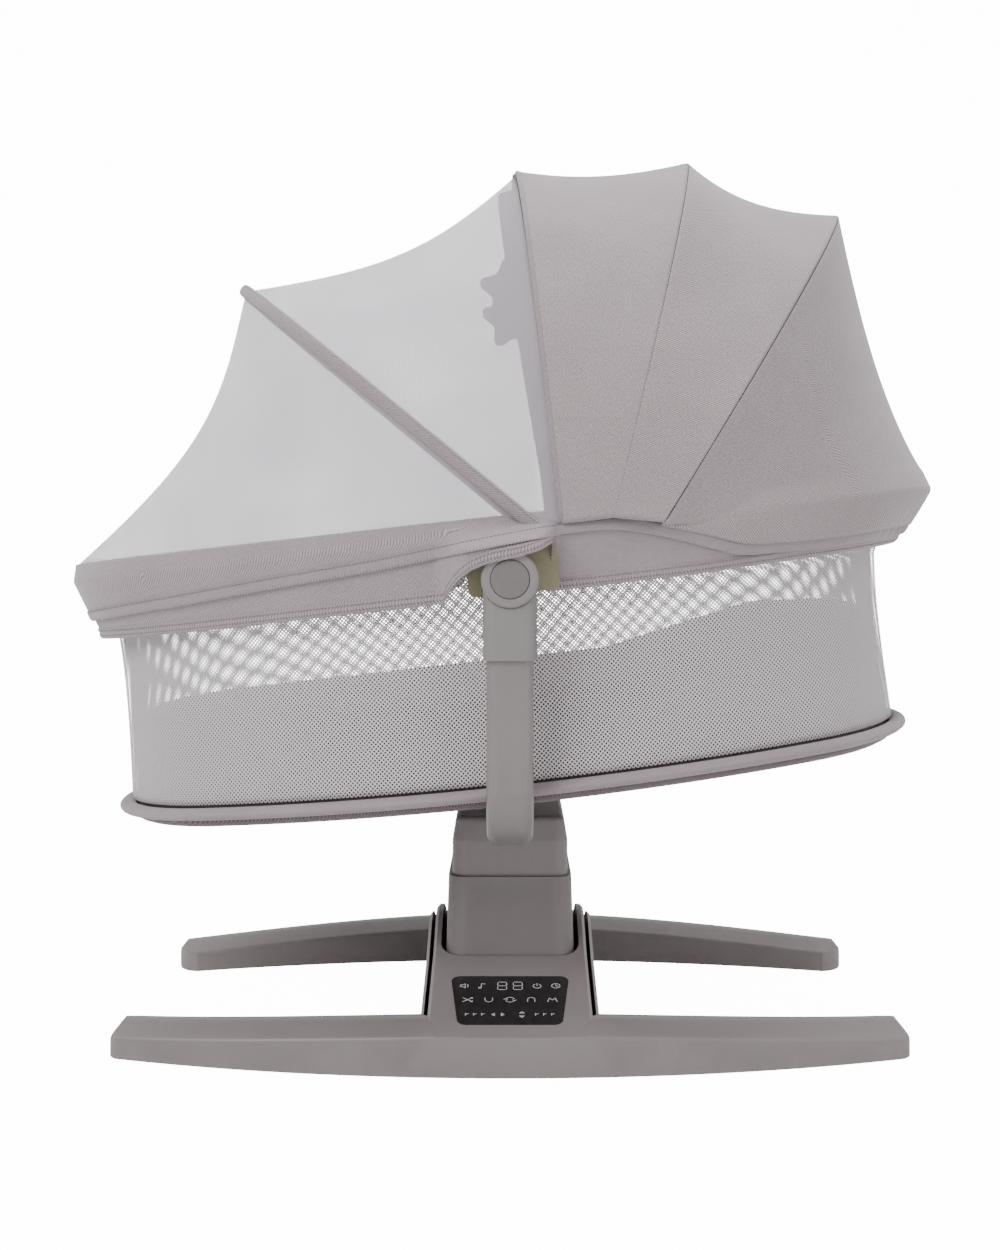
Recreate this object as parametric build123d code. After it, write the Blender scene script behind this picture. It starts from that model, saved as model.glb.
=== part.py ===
"""Electric baby swing: a tilting oval cot with a hood and a net, on a lifting and swaying column.

+X points to the head end, +Y away from the control panel, +Z up. All lengths are millimetres.
The origin is on the floor, under the middle of the overall length.
"""

from build123d import *
import math
import os

os.makedirs("parts", exist_ok=True)

# ---------------------------------------------------------------- general sizes
COLUMN_X = 8.0  # the column stands this far towards the head end
GAP = 0.3  # between pieces that don't fit into each other
RUN = 0.05  # radial clearance of a shaft that turns or slides in a bore
WALL = 3.0  # moulded casings

# ---------------------------------------------------------------- base
FOOT_OUTER = 228.5  # outer face of each foot from the middle
FOOT_WIDTH = 70.0
FOOT_RADIUS = 1362.0  # plan radius of a foot's centre line
FOOT_REACH = 377.7  # tip of a foot from the middle
FOOT_CREASE = 39.0  # height where a foot's upright side ends
SEAM = 68.0  # legs join the housing this far from the middle
SOLE = 2.0  # underside of the plastic, above the floor
PAD_LENGTH = 46.0
PAD_WIDTH = 26.0
PAD_INSET = 24.0  # pad centre from the tip
HOUSING_WIDTH = 168.0
SHOULDER_Y = 88.0  # top of the panel slope
SHOULDER_Z = 74.5
CREST_Z = 103.0  # top of the cheeks beside the column
CHEEK_CHAMFER = 10.0
WELL_HALF_X = 69.5
WELL_CORNER = 20.0
PANEL_TOP = 114.8  # width of the glass at its upper edge
PANEL_BOTTOM = 96.4
PANEL_LENGTH = 85.0
PANEL_START = 21.0  # lower edge of the glass from the front crease, along the slope
PANEL_THICK = 2.0
PANEL_CORNER = 9.0

# ---------------------------------------------------------------- sway pivot
SWAY_Z = 45.0
SHAFT_R = 6.0
BEARING_R = 13.0
BEARING_Y = 60.0
BEARING_WIDTH = 8.0

# ---------------------------------------------------------------- column
COLUMN_LOW = 62.0
COLUMN_TOP = 152.0
COLUMN_FOOT = (129.4, 171.0)
COLUMN_HEAD = (124.0, 165.0)
COLUMN_CORNER = 16.0
DECK_Z = 66.0  # steel deck that carries the lift
DECK_THICK = 5.0
ROD_R = 5.0
ROD_X = 38.0
ROD_TOP = 190.0
SCREW_R = 6.0
SCREW_TOP = 190.0
GEARBOX_TOP = 88.0

# ---------------------------------------------------------------- lift head and yoke
HEAD_LOW = 112.0
HEAD_CREASE = 187.0
HEAD_TOP = 211.0
HEAD_SIZE = (116.4, 156.0)
HEAD_CORNER = 13.0
HEAD_TAPER = 9.0  # degrees, above the crease
CARRIAGE_Z = 130.0
CARRIAGE_THICK = 8.0
TUBE_WIDTH = 41.5
TUBE_THICK = 22.0
TUBE_WALL = 2.5
TUBE_CORNER = 10.5
TUBE_BEND = 45.0
TUBE_Z = 224.0  # centre of the level run under the cot
SADDLE_HALF_X = 24.0
SADDLE_HALF_Y = 50.0
SADDLE_TOP = 237.0  # a thin bridge over the tubes, clear of the leaning cot
ARM_Y = 268.0  # centre of the upright arms
SLEEVE_WIDTH = 47.3
SLEEVE_THICK = 30.0
SLEEVE_LOW = 384.0
SLEEVE_SOCKET = 36.0
HUB_Z = 455.0
HUB_R = 25.4
RING_FACE = 285.5
BUTTON_R = 17.1
BUTTON_FACE = 286.0
BUTTON_TRAVEL = 3.0
AXLE_R = 10.0
AXLE_END = 270.0

# ---------------------------------------------------------------- cot, in its own frame at the hub
TILT = 6.2  # degrees, head end up
# Each oval is (half length, half width, end radius, centre towards the head).
RIM = (419.5, 232.0, 180.0, -8.0)
RIM_Z = 28.0
RIM_TUBE_R = 8.0
BAND_LOW = (412.0, 241.5, 184.0, -16.0)
BAND_WIDE = (442.0, 250.0, 192.0, -6.0)
BAND_HIGH = (438.0, 247.5, 190.0, -6.0)
BAND_LEVELS = (-16.0, 39.0, 55.0)
BAND_THICK = 4.0
MESH_LOW = (397.0, 226.0, 176.0, -18.0)
MESH_MID = (399.0, 228.0, 178.0, -16.0)
MESH_HIGH = (419.0, 234.0, 180.0, -9.0)
MESH_LEVELS = (-185.2, -16.0, 18.8)
MESH_THICK = 2.0
HOOP = (398.5, 226.1, 176.0, -18.0)
HOOP_Z = -193.0
HOOP_R = 7.5
BOARD = (388.0, 216.0, 170.0, -18.0)
BOARD_LEVELS = (-195.5, -187.5)
COVER_LOW = -208.0
MATTRESS_GAP = 9.0  # between the mattress and the mesh
MATTRESS_FOOT = -98.0
MATTRESS_MID = -106.0
MATTRESS_HEAD = -68.0
WINDOW = (-56.0, 56.0, -20.0, 47.0)  # opening in the rim band round each hub
BRACKET_Y = 240.3
BRACKET_THICK = 11.1
BRACKET = (-38.0, 44.0, -14.0, 44.0)

# ---------------------------------------------------------------- hood and net, about one hinge line
HINGE_U = 68.0
HINGE_V = 60.0
HINGE_PIN_R = 4.0
HINGE_PLATE_Y = 234.9
EYE_R = 9.0
BOW_THICK = 3.0
BOW_WIDTH = 10.0
BOW_STEP = 4.0  # one bow's eye to the next along the pin
CLOTH = 2.0
BOW_UNDER = 6.0  # bow below the reach of its cloth
NET_CLOTH = 1.5
NET_UNDER = 7.5  # the same at the net's bow, where the cloth dips both ways
SKIRT_HALF_WIDTH = 246.0
SKIRT_START = 25.0  # nearest cloth to the hinge line
# Each bow is (angle above the rim plane from the head side, reach of the cloth over it).
REAR_BOW = (41.5, 410.2)
MID_BOW = (65.1, 379.4)
FRONT_BOW = (92.7, 355.4)
NET_BOW = (140.0, 408.8)
TOY_BOW = (95.3, 343.0)
HEAD_HEM = (1.0, 372.0)
NET_DIP = (118.4, 321.4)
FOOT_DIP = (162.2, 392.0)
FOOT_HEM = (179.0, 510.0)
STAR_R = 44.0
STAR_THICK = 24.0

PLACE = Pos(COLUMN_X, 0, 0)
COT = Pos(0, 0, HUB_Z) * Rot(0, -TILT, 0)


# ---------------------------------------------------------------- helpers
def block(x0, x1, y0, y1, z0, z1):
    """Rectangular block between two corners."""
    return Pos((x0 + x1) / 2, (y0 + y1) / 2, (z0 + z1) / 2) * Box(x1 - x0, y1 - y0, z1 - z0)


def bar_y(radius, y0, y1, x=0.0, z=0.0):
    """Round bar along Y."""
    return Pos(x, (y0 + y1) / 2, z) * Rot(90, 0, 0) * Cylinder(radius, abs(y1 - y0))


def bar_z(radius, z0, z1, x=0.0, y=0.0):
    """Round bar along Z."""
    return Pos(x, y, (z0 + z1) / 2) * Cylinder(radius, z1 - z0)


def far_side(shape):
    """The same piece on the far side of the middle plane."""
    return mirror(shape, about=Plane.XZ)


def left_side(shape):
    """The same piece on the foot side of the column."""
    return mirror(shape, about=Plane.YZ)


def group(*shapes):
    """Separate solids kept in one node."""
    return Compound([solid for shape in shapes for solid in shape.solids()])


def write(name, shape):
    """One STEP file for one node."""
    export_step(group(PLACE * shape), f"parts/{name}.step")


def prism(face, low, high):
    """A flat face in XY carried from one height to another."""
    return Pos(0, 0, low) * extrude(face, high - low)


# ---------------------------------------------------------------- ovals of the cot
def oval(size, level=0.0, inset=0.0):
    """Flat oval of four tangent arcs: round ends joined by flatter sides."""
    half_length, half_width, end_r, centre = size
    a = half_length - inset
    b = half_width - inset
    r = end_r - inset
    reach = a - r
    side_r = (reach**2 + b**2 - r**2) / (2 * (b - r))
    join_x = reach * side_r / (side_r - r)
    join_y = (side_r - b) * r / (side_r - r)
    far = ThreePointArc((-join_x, join_y), (0, b), (join_x, join_y))
    head = ThreePointArc((join_x, join_y), (a, 0), (join_x, -join_y))
    near = ThreePointArc((join_x, -join_y), (0, -b), (-join_x, -join_y))
    foot = ThreePointArc((-join_x, -join_y), (-a, 0), (-join_x, join_y))
    return Pos(centre, 0, level) * make_face([far, head, near, foot])


def oval_body(sizes, levels, inset=0.0, over=0.0):
    """Solid through ovals at rising levels; over makes it a little taller at both ends."""
    heights = list(levels)
    heights[0] -= over
    heights[-1] += over
    faces = [oval(size, level, inset) for size, level in zip(sizes, heights)]
    return loft(faces, ruled=True)


def oval_wall(sizes, levels, thick):
    """Standing wall that follows the ovals."""
    return oval_body(sizes, levels) - oval_body(sizes, levels, thick, 0.001)


def oval_tube(size, level, radius):
    """Round tube bent to the oval."""
    half_length, half_width, end_r, centre = size
    reach = half_length - end_r
    side_r = (reach**2 + half_width**2 - end_r**2) / (2 * (half_width - end_r))
    join_x = reach * side_r / (side_r - end_r)
    join_y = (side_r - half_width) * end_r / (side_r - end_r)
    section = Circle(radius)
    side_turn = 2 * math.degrees(math.asin(join_x / side_r))
    end_turn = 180.0 - side_turn
    side = bent_bar(section, side_r, side_turn)
    end = bent_bar(section, end_r, end_turn)
    pieces = [
        Pos(0, half_width - side_r, 0) * Rot(0, 0, 90) * side,
        Pos(0, side_r - half_width, 0) * Rot(0, 0, -90) * side,
        Pos(reach, 0, 0) * end,
        Pos(-reach, 0, 0) * Rot(0, 0, 180) * end,
    ]
    return Pos(centre, 0, level) * (pieces[0] + pieces[2] + pieces[1] + pieces[3])


def bent_bar(section, bend_r, turn):
    """Section carried round Z by an angle, centred on +X."""
    start = Pos(bend_r, 0, 0) * Rot(90, 0, 0) * section
    return Rot(0, 0, -turn / 2) * revolve(start, Axis.Z, turn)


# ---------------------------------------------------------------- arches of the hood
def arch_form(half_width, reach, foot):
    """Flat D under a bow: upright sides, round shoulders and a level crown."""
    hip = 0.40 * reach
    crown = 0.55 * half_width
    points = [
        (half_width, foot),
        (half_width, hip),
        (crown, reach),
        (-crown, reach),
        (-half_width, hip),
        (-half_width, foot),
    ]
    slope = math.atan2(reach - hip, half_width - crown)
    crown_run = 0.9 * crown
    hip_run = min(0.8 * hip, math.hypot(reach - hip, half_width - crown) - crown_run - 2)
    whole = make_face(Polyline(*points, close=True))
    corners = whole.vertices().filter_by(lambda v: v.Y > 0.9 * reach)
    whole = fillet(corners, crown_run / math.tan(slope / 2))
    hips = whole.vertices().filter_by(lambda v: abs(v.Y - hip) < 0.1)
    return fillet(hips, hip_run / math.tan((math.pi / 2 - slope) / 2))


def hinge_plane(angle):
    """Plane through the hood's hinge line, raised from the head side by an angle."""
    turn = math.radians(angle)
    return Plane(
        origin=(HINGE_U, 0, HINGE_V),
        x_dir=(0, 1, 0),
        z_dir=(math.sin(turn), 0, -math.cos(turn)),
    )


def bow_half_width(place):
    """Outer half width of a bow from its place on the pin, outermost first."""
    return HINGE_PLATE_Y - 0.9 - place * BOW_STEP


def bow(size, place, under):
    """Flat batten bent to a U, with an eye on the hinge pin at each end."""
    angle, reach = size
    half_width = bow_half_width(place)
    outer = arch_form(half_width, reach - under, 0.0)
    inner = arch_form(half_width - BOW_THICK, reach - under - BOW_THICK, 0.0)
    strip = extrude(outer - inner, BOW_WIDTH / 2, both=True)
    middle = half_width - BOW_THICK / 2
    hole = Rot(0, 90, 0) * Cylinder(HINGE_PIN_R + RUN, 4 * half_width)
    eyes = [Pos(side * middle, 0, 0) * Rot(0, 90, 0) * Cylinder(EYE_R, BOW_THICK) for side in (-1, 1)]
    return hinge_plane(angle) * (strip + eyes[0] + eyes[1] - hole)


def panel(edges, thick):
    """Cloth stretched over arches at rising angles, a hair short of the first and the last."""
    return tent(edges, 0.0, 0.06) - tent(edges, thick, 0.0)


def tent(edges, inset, hair):
    """Solid under the cloth, from the first arch to the last."""
    angles = [angle for angle, _ in edges]
    angles[0] += hair
    angles[-1] -= hair
    half_width = SKIRT_HALF_WIDTH - inset
    faces = [
        hinge_plane(angle) * arch_form(half_width, reach - inset, SKIRT_START)
        for angle, (_, reach) in zip(angles, edges)
    ]
    return loft(faces, ruled=True)


# ---------------------------------------------------------------- base pieces
def foot_angle(x):
    """Angle round a foot's bend for a distance from the middle."""
    return math.asin(x / FOOT_RADIUS)


def foot_centre_y():
    """Centre of the front foot's plan bend."""
    return FOOT_RADIUS + FOOT_WIDTH / 2 - FOOT_OUTER


def leg_section(x, half_width, height):
    """Slice of a leg square to its bend: upright sides and a low ridge."""
    turn = foot_angle(x)
    origin = (FOOT_RADIUS * math.sin(turn), foot_centre_y() - FOOT_RADIUS * math.cos(turn), 0)
    plane = Plane(
        origin=origin,
        x_dir=(math.sin(turn), -math.cos(turn), 0),
        z_dir=(-math.cos(turn), -math.sin(turn), 0),
    )
    side = height - 9.0
    points = [
        (-half_width, SOLE),
        (half_width, SOLE),
        (half_width, side),
        (0, height),
        (-half_width, side),
    ]
    face = make_face(Polyline(*points, close=True))
    shoulders = face.vertices().filter_by(lambda v: SOLE + 1 < v.Y < height - 1)
    face = fillet(shoulders, 4.0)
    ridge = face.vertices().sort_by(Axis.Y)[-1]
    return plane * fillet(ridge, 40.0)


def leg_prism():
    """Plan and side outline that round off a leg's tip."""
    tip_r = 27.0
    strip = make_face(
        [
            Line((0, -FOOT_OUTER), (0, -FOOT_OUTER + FOOT_WIDTH)),
            foot_arc(-FOOT_WIDTH / 2),
            Line(foot_point(-FOOT_WIDTH / 2), foot_point(FOOT_WIDTH / 2)),
            foot_arc(FOOT_WIDTH / 2),
        ]
    )
    tip = strip.vertices().filter_by(lambda v: v.X > FOOT_REACH / 2)
    plan = prism(fillet(tip, tip_r), 0, 60)
    side_points = [(0, 0), (FOOT_REACH, 0), (FOOT_REACH, 32.0), (0, 60)]
    side = make_face(Polyline(*side_points, close=True))
    nose = side.vertices().filter_by(lambda v: v.X > 1 and v.Y > 1)
    side = fillet(nose, 19.0)
    return plan & extrude(Plane.XZ * side, 400, both=True)


def foot_point(out):
    """End of the foot's plan, out from its centre line."""
    turn = foot_angle(FOOT_REACH)
    radius = FOOT_RADIUS + out
    return (radius * math.sin(turn), foot_centre_y() - radius * math.cos(turn))


def foot_arc(out):
    """Edge of the foot's plan, out from its centre line."""
    radius = FOOT_RADIUS + out
    turn = foot_angle(FOOT_REACH) / 2
    start = (0, foot_centre_y() - radius)
    middle = (radius * math.sin(turn), foot_centre_y() - radius * math.cos(turn))
    return ThreePointArc(start, middle, foot_point(out))


def tongue(side_gap=0.0):
    """Tongue of a leg that plugs into the housing."""
    y = FOOT_OUTER - FOOT_WIDTH / 2
    return block(46, 120, -y - 9 - side_gap, -y + 15 + side_gap, 14 - side_gap, 34 + side_gap)


def front_right_leg(housing):
    """Leg with its tongue, cut to the housing's side."""
    stations = [
        (SEAM - 20, 35.0, 48.5),
        (150, 35.0, 44.5),
        (230, 34.8, 40.0),
        (310, 34.0, 35.0),
        (FOOT_REACH + 4, 32.5, 31.0),
    ]
    body = loft([leg_section(*station) for station in stations])
    body = body & leg_prism()
    body = body - block(0, SEAM, -300, 0, -10, 100) - housing
    inside = tongue() & block(0, SEAM + 30, -300, 0, 0, 100)
    return body + (inside - block(0, 48, -300, 0, 0, 100))


def housing_plan(inset):
    """Housing seen from above, narrower where it forms the middle of each foot."""
    end = SEAM - inset
    side = HOUSING_WIDTH / 2 - inset
    reach = FOOT_OUTER + 5
    narrow = FOOT_OUTER - 20
    wide = FOOT_OUTER - 38
    quarter = [(end, reach), (end, narrow), (side, wide)]
    right = [(x, -y) for x, y in quarter] + [(x, y) for x, y in reversed(quarter)]
    left = [(-x, y) for x, y in reversed(right)]
    return make_face(Polyline(*right, *left, close=True))


def housing_side(inset):
    """Housing seen from the side: panel slopes that rise to round cheeks."""
    turn = math.atan2(CREST_Z + 9 - SHOULDER_Z, SHOULDER_Y)
    crest_r = 9.0 / (1 / math.cos(turn) - 1)
    top = CREST_Z + 9.0 - inset
    reach = FOOT_OUTER + 2
    right = [(0, top), (SHOULDER_Y, SHOULDER_Z - inset), (reach, slope_height(reach) - inset)]
    points = right + [(reach, SOLE), (-reach, SOLE)] + [(-y, z) for y, z in reversed(right[1:])]
    face = make_face(Polyline(*points, close=True))
    crest = face.vertices().sort_by(Axis.Y)[-1]
    face = fillet(crest, crest_r)
    shoulders = face.vertices().filter_by(lambda v: abs(abs(v.X) - SHOULDER_Y) < 1)
    return fillet(shoulders, 120.0)


def slope_height(y):
    """Height of the panel slope at a distance from the middle."""
    rise = (SHOULDER_Z - FOOT_CREASE) / (FOOT_OUTER - SHOULDER_Y)
    return FOOT_CREASE + (FOOT_OUTER - y) * rise


def housing_solid(inset):
    """Outer form of the housing, or the space inside it."""
    plan = prism(housing_plan(inset), 0, 130)
    side = extrude(Plane.YZ * housing_side(inset), HOUSING_WIDTH, both=True)
    centre = foot_centre_y()
    outer_r = FOOT_RADIUS + FOOT_WIDTH / 2 - inset
    front = bar_z(outer_r, -10, 140, y=centre)
    rear = bar_z(outer_r, -10, 140, y=-centre)
    return plan & side & front & rear


def chamfered_housing():
    """Outer form with its long upper side edges taken off."""
    solid = housing_solid(0.0)
    half = HOUSING_WIDTH / 2
    edges = solid.edges().filter_by(lambda e: abs(abs(e.center().X) - half) < 0.01)
    edges = edges.filter_by(lambda e: e.center().Z > FOOT_CREASE and e.length > 20)
    return chamfer(edges, CHEEK_CHAMFER)


def well(grow, low, high):
    """Opening that the column stands in."""
    face = RectangleRounded(2 * (WELL_HALF_X + grow), 2 * (SHOULDER_Y + grow), WELL_CORNER + grow)
    return prism(face, low, high)


def panel_plane():
    """Plane of the control panel, at the middle of its glass, facing out."""
    rise = math.atan2(SHOULDER_Z - FOOT_CREASE, FOOT_OUTER - SHOULDER_Y)
    along = PANEL_START + PANEL_LENGTH / 2
    y = -FOOT_OUTER + along * math.cos(rise)
    z = FOOT_CREASE + along * math.sin(rise)
    return Plane(origin=(0, y, z), x_dir=(1, 0, 0), z_dir=(0, -math.sin(rise), math.cos(rise)))


def panel_glass():
    """Touch glass, wider at its upper edge, let into the slope."""
    half = PANEL_LENGTH / 2
    points = [
        (-PANEL_BOTTOM / 2, -half),
        (PANEL_BOTTOM / 2, -half),
        (PANEL_TOP / 2, half),
        (-PANEL_TOP / 2, half),
    ]
    face = make_face(Polyline(*points, close=True))
    face = fillet(face.vertices(), PANEL_CORNER)
    return panel_plane() * (Pos(0, 0, -PANEL_THICK) * extrude(face, PANEL_THICK + 0.3))


def base_housing(outer):
    """Moulded housing with the well, the panel seat and the tongue sockets."""
    shell = outer - housing_solid(WALL)
    collar = well(WALL, 52, 130) & outer
    shell = shell + collar - well(0, 0, 140)
    shell = shell + (prism(housing_plan(0), SOLE, SOLE + 4) & outer & lip_zone())
    shell = shell - panel_glass()
    for turn in (lambda s: s, far_side):
        for side in (lambda s: s, left_side):
            shell = shell - side(turn(tongue()))
    return shell - dc_bore()


def lip_zone():
    """Inner lip at the bottom that the bottom plate is screwed to."""
    return block(-200, 200, -300, 300, 0, 20) - prism(housing_plan(WALL + 6), -1, 30)


def dc_bore():
    """Round hole for the power socket in the rear of the housing."""
    return bar_y(5.5, FOOT_OUTER - 14, FOOT_OUTER + 6, x=30, z=22)


def bottom_plate():
    """Flat closing plate inside the housing's lip."""
    plate = prism(housing_plan(WALL + 6 + GAP), SOLE + 0.5, SOLE + 5)
    cut = block(-200, 200, -FOOT_OUTER + 12, FOOT_OUTER - 12, 0, 20)
    plate = plate & cut
    for x, y in screw_places():
        plate = plate - bar_z(2.0, 0, 20, x, y) - bar_z(4.0, 0, SOLE + 3, x, y)
    return plate


def screw_places():
    """Screws that hold the bearing blocks."""
    y = BEARING_Y + BEARING_WIDTH / 2
    return [(x * 17.0, side * y) for x in (-1, 1) for side in (-1, 1)]


def base_screws():
    """Pan head screws up through the bottom plate."""
    screws = []
    for x, y in screw_places():
        screws.append(bar_z(4.0, SOLE + 1, SOLE + 3, x, y) + bar_z(2.0, SOLE + 3, 26, x, y))
    return group(*screws)


def bearing_block():
    """Pedestal for one bearing of the sway shaft."""
    y0 = BEARING_Y - 1
    y1 = BEARING_Y + BEARING_WIDTH + 1
    body = block(-23, 23, y0, y1, SOLE + 5, SWAY_Z) + bar_y(BEARING_R + 3, y0, y1, z=SWAY_Z)
    body = body - bar_y(BEARING_R, y0 - 1, y1 + 1, z=SWAY_Z)
    for x, y in screw_places():
        body = body - bar_z(2.0, 0, 26, x, y)
    return body


def sway_bearing():
    """Plain ring between shaft and pedestal."""
    y1 = BEARING_Y + BEARING_WIDTH
    ring = bar_y(BEARING_R, BEARING_Y, y1, z=SWAY_Z)
    return ring - bar_y(SHAFT_R + RUN, BEARING_Y - 1, y1 + 1, z=SWAY_Z)


def sway_gearbox():
    """Gear case round the sway shaft, with its motor's seat."""
    case = block(-20, 56, -24, 24, SOLE + 5, 57)
    case = fillet(case.edges().filter_by(Axis.Y), 4.0)
    return case - bar_y(SHAFT_R + RUN, -30, 30, z=SWAY_Z)


def control_board():
    """Circuit board under the glass."""
    board = Pos(0, 0, -PANEL_THICK - WALL - 6) * Box(92, 60, 1.6)
    chip = Pos(0, 0, -PANEL_THICK - WALL - 7.9) * Box(14, 14, 2)
    return panel_plane() * (board + chip)


def speaker():
    """Small round speaker that plays into the housing."""
    return bar_z(24, SOLE + 5, SOLE + 20, y=150) + bar_z(14, SOLE + 20, SOLE + 26, y=150)


def dc_socket():
    """Barrel inlet for the power lead."""
    body = bar_y(5.5, FOOT_OUTER - 14, FOOT_OUTER - 0.5, x=30, z=22)
    body = body - bar_y(2.75, FOOT_OUTER - 10, FOOT_OUTER + 1, x=30, z=22)
    return body + bar_y(0.9, FOOT_OUTER - 12, FOOT_OUTER - 2, x=30, z=22)


def rubber_feet():
    """Four pads under the leg tips."""
    turn = foot_angle(FOOT_REACH - PAD_INSET)
    y = foot_centre_y() - FOOT_RADIUS * math.cos(turn)
    face = RectangleRounded(PAD_LENGTH - 8, PAD_WIDTH, 8)
    pad = Pos(FOOT_REACH - PAD_INSET, y) * Rot(0, 0, math.degrees(turn)) * prism(face, 0, SOLE)
    return group(pad, far_side(pad), left_side(pad), far_side(left_side(pad)))


# ---------------------------------------------------------------- column pieces
def rounded_tower(low_size, high_size, low, high, corner):
    """Tapered block with round upright corners."""
    foot = Pos(0, 0, low) * RectangleRounded(*low_size, corner)
    top = Pos(0, 0, high) * RectangleRounded(*high_size, corner)
    return loft([foot, top], ruled=True)


def column_core():
    """Space inside the column's sleeve."""
    thin = 2 * WALL
    low_size = (COLUMN_FOOT[0] - thin, COLUMN_FOOT[1] - thin)
    high_size = (COLUMN_HEAD[0] - thin, COLUMN_HEAD[1] - thin)
    return rounded_tower(low_size, high_size, COLUMN_LOW, COLUMN_TOP, COLUMN_CORNER - WALL)


def column_shell():
    """Open sleeve that stands in the well."""
    return rounded_tower(COLUMN_FOOT, COLUMN_HEAD, COLUMN_LOW, COLUMN_TOP, COLUMN_CORNER) - column_core()


def column_frame():
    """Steel deck that fills the sleeve's foot, with two lugs on the sway shaft."""
    reach = COLUMN_FOOT[1]
    frame = column_core() & block(-reach, reach, -reach, reach, DECK_Z, DECK_Z + DECK_THICK)
    for side in (-1, 1):
        y0, y1 = sorted((side * 34, side * 52))
        frame = frame + bar_y(13, y0, y1, z=SWAY_Z) + block(-13, 13, y0, y1, SWAY_Z, DECK_Z + 1)
    frame = frame - bar_y(SHAFT_R, -60, 60, z=SWAY_Z)
    for x in (-ROD_X, ROD_X):
        frame = frame - bar_z(ROD_R, DECK_Z - 1, DECK_Z + DECK_THICK + 1, x)
    return frame


def lift_gearbox():
    """Gear case of the lift, with the screw's journal."""
    deck = DECK_Z + DECK_THICK
    case = block(-24, 24, -20, 56, deck, GEARBOX_TOP)
    case = fillet(case.edges().filter_by(Axis.Z), 5.0)
    return case - bar_z(4 + RUN, deck + 2, GEARBOX_TOP + 1)


def lift_screw():
    """Fast-lead screw with a thinner journal."""
    deck = DECK_Z + DECK_THICK
    return bar_z(SCREW_R, GEARBOX_TOP + GAP, SCREW_TOP) + bar_z(4, deck + 3, GEARBOX_TOP + 1)


def guide_rods():
    """Two ground rods that guide the lift head."""
    return group(*[bar_z(ROD_R, DECK_Z, ROD_TOP, x) for x in (-ROD_X, ROD_X)])


# ---------------------------------------------------------------- lift head pieces
def head_form(inset):
    """Block with round corners and a top that leans in above a crease."""
    size = (HEAD_SIZE[0] - 2 * inset, HEAD_SIZE[1] - 2 * inset)
    corner = HEAD_CORNER - inset
    face = RectangleRounded(*size, corner)
    low = prism(face, HEAD_LOW, HEAD_CREASE)
    high = Pos(0, 0, HEAD_CREASE) * extrude(face, HEAD_TOP - HEAD_CREASE - inset, taper=HEAD_TAPER)
    return low + high


def head_shell():
    """Moulded cover of the lift head."""
    outer = head_form(0.0)
    top = outer.faces().sort_by(Axis.Z)[-1]
    outer = fillet(top.edges(), 6.0)
    return outer - head_form(WALL)


def lift_carriage():
    """Plate across the inside of the head that takes the nut and the bushes."""
    face = RectangleRounded(HEAD_SIZE[0] - 2 * WALL - 1, 84, 6)
    plate = prism(face, CARRIAGE_Z, CARRIAGE_Z + CARRIAGE_THICK) - bar_z(13, 100, 200)
    for x in (-ROD_X, ROD_X):
        plate = plate - bar_z(9, 100, 200, x)
    return plate


def lift_nut():
    """Nut on the lift screw."""
    nut = bar_z(13, CARRIAGE_Z - 2, CARRIAGE_Z + 16)
    return nut - bar_z(SCREW_R + RUN, 100, 200)


def slide_bushes():
    """Bushes on the guide rods."""
    rings = []
    for x in (-ROD_X, ROD_X):
        ring = bar_z(9, CARRIAGE_Z - 5, CARRIAGE_Z + 20, x) - bar_z(ROD_R + RUN, 100, 200, x)
        rings.append(ring)
    return group(*rings)


def tube_section(grow):
    """Flat oval section of the yoke tube."""
    return RectangleRounded(TUBE_WIDTH + 2 * grow, TUBE_THICK + 2 * grow, TUBE_CORNER + grow)


def arm_tube():
    """Yoke tube of one side: level from the saddle, bent up beside the cot."""
    top = SLEEVE_LOW + SLEEVE_SOCKET
    path = FilletPolyline((0, -6, TUBE_Z), (0, -ARM_Y, TUBE_Z), (0, -ARM_Y, top), radius=TUBE_BEND)
    start = Plane(origin=(0, -6, TUBE_Z), x_dir=(1, 0, 0), z_dir=(0, -1, 0))
    return sweep(start * (tube_section(0) - tube_section(-TUBE_WALL)), path=path)


def yoke_saddle():
    """Clamp on top of the head that both tubes plug into."""
    body = block(-SADDLE_HALF_X, SADDLE_HALF_X, -SADDLE_HALF_Y, SADDLE_HALF_Y, HEAD_TOP, SADDLE_TOP)
    body = fillet(body.edges().filter_by(Axis.Z), 6.0)
    across = Plane(origin=(0, -60, TUBE_Z), x_dir=(1, 0, 0), z_dir=(0, 1, 0))
    return body - extrude(across * tube_section(0), 120)


def arm_sleeve():
    """Moulded arm top with the hub's bore, the button's cup and the ring's seat."""
    y0 = -ARM_Y - SLEEVE_THICK / 2
    face = Pos(0, -ARM_Y) * RectangleRounded(SLEEVE_WIDTH, SLEEVE_THICK, 11)
    body = prism(face, SLEEVE_LOW, HUB_Z)
    body = body + bar_y(HUB_R, y0, -ARM_Y + SLEEVE_THICK / 2 + 0.4, z=HUB_Z)
    socket = Pos(0, -ARM_Y) * tube_section(0)
    body = body - prism(socket, SLEEVE_LOW - 1, SLEEVE_LOW + SLEEVE_SOCKET)
    body = body - bar_y(HUB_R + 0.4, -RING_FACE - 9, -RING_FACE + 5.6, z=HUB_Z)
    body = body - bar_y(BUTTON_R + 0.4, -RING_FACE - 9, -AXLE_END - 3.5, z=HUB_Z)
    return body - bar_y(AXLE_R + RUN, -AXLE_END - 0.5, -AXLE_END + 40, z=HUB_Z)


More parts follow.
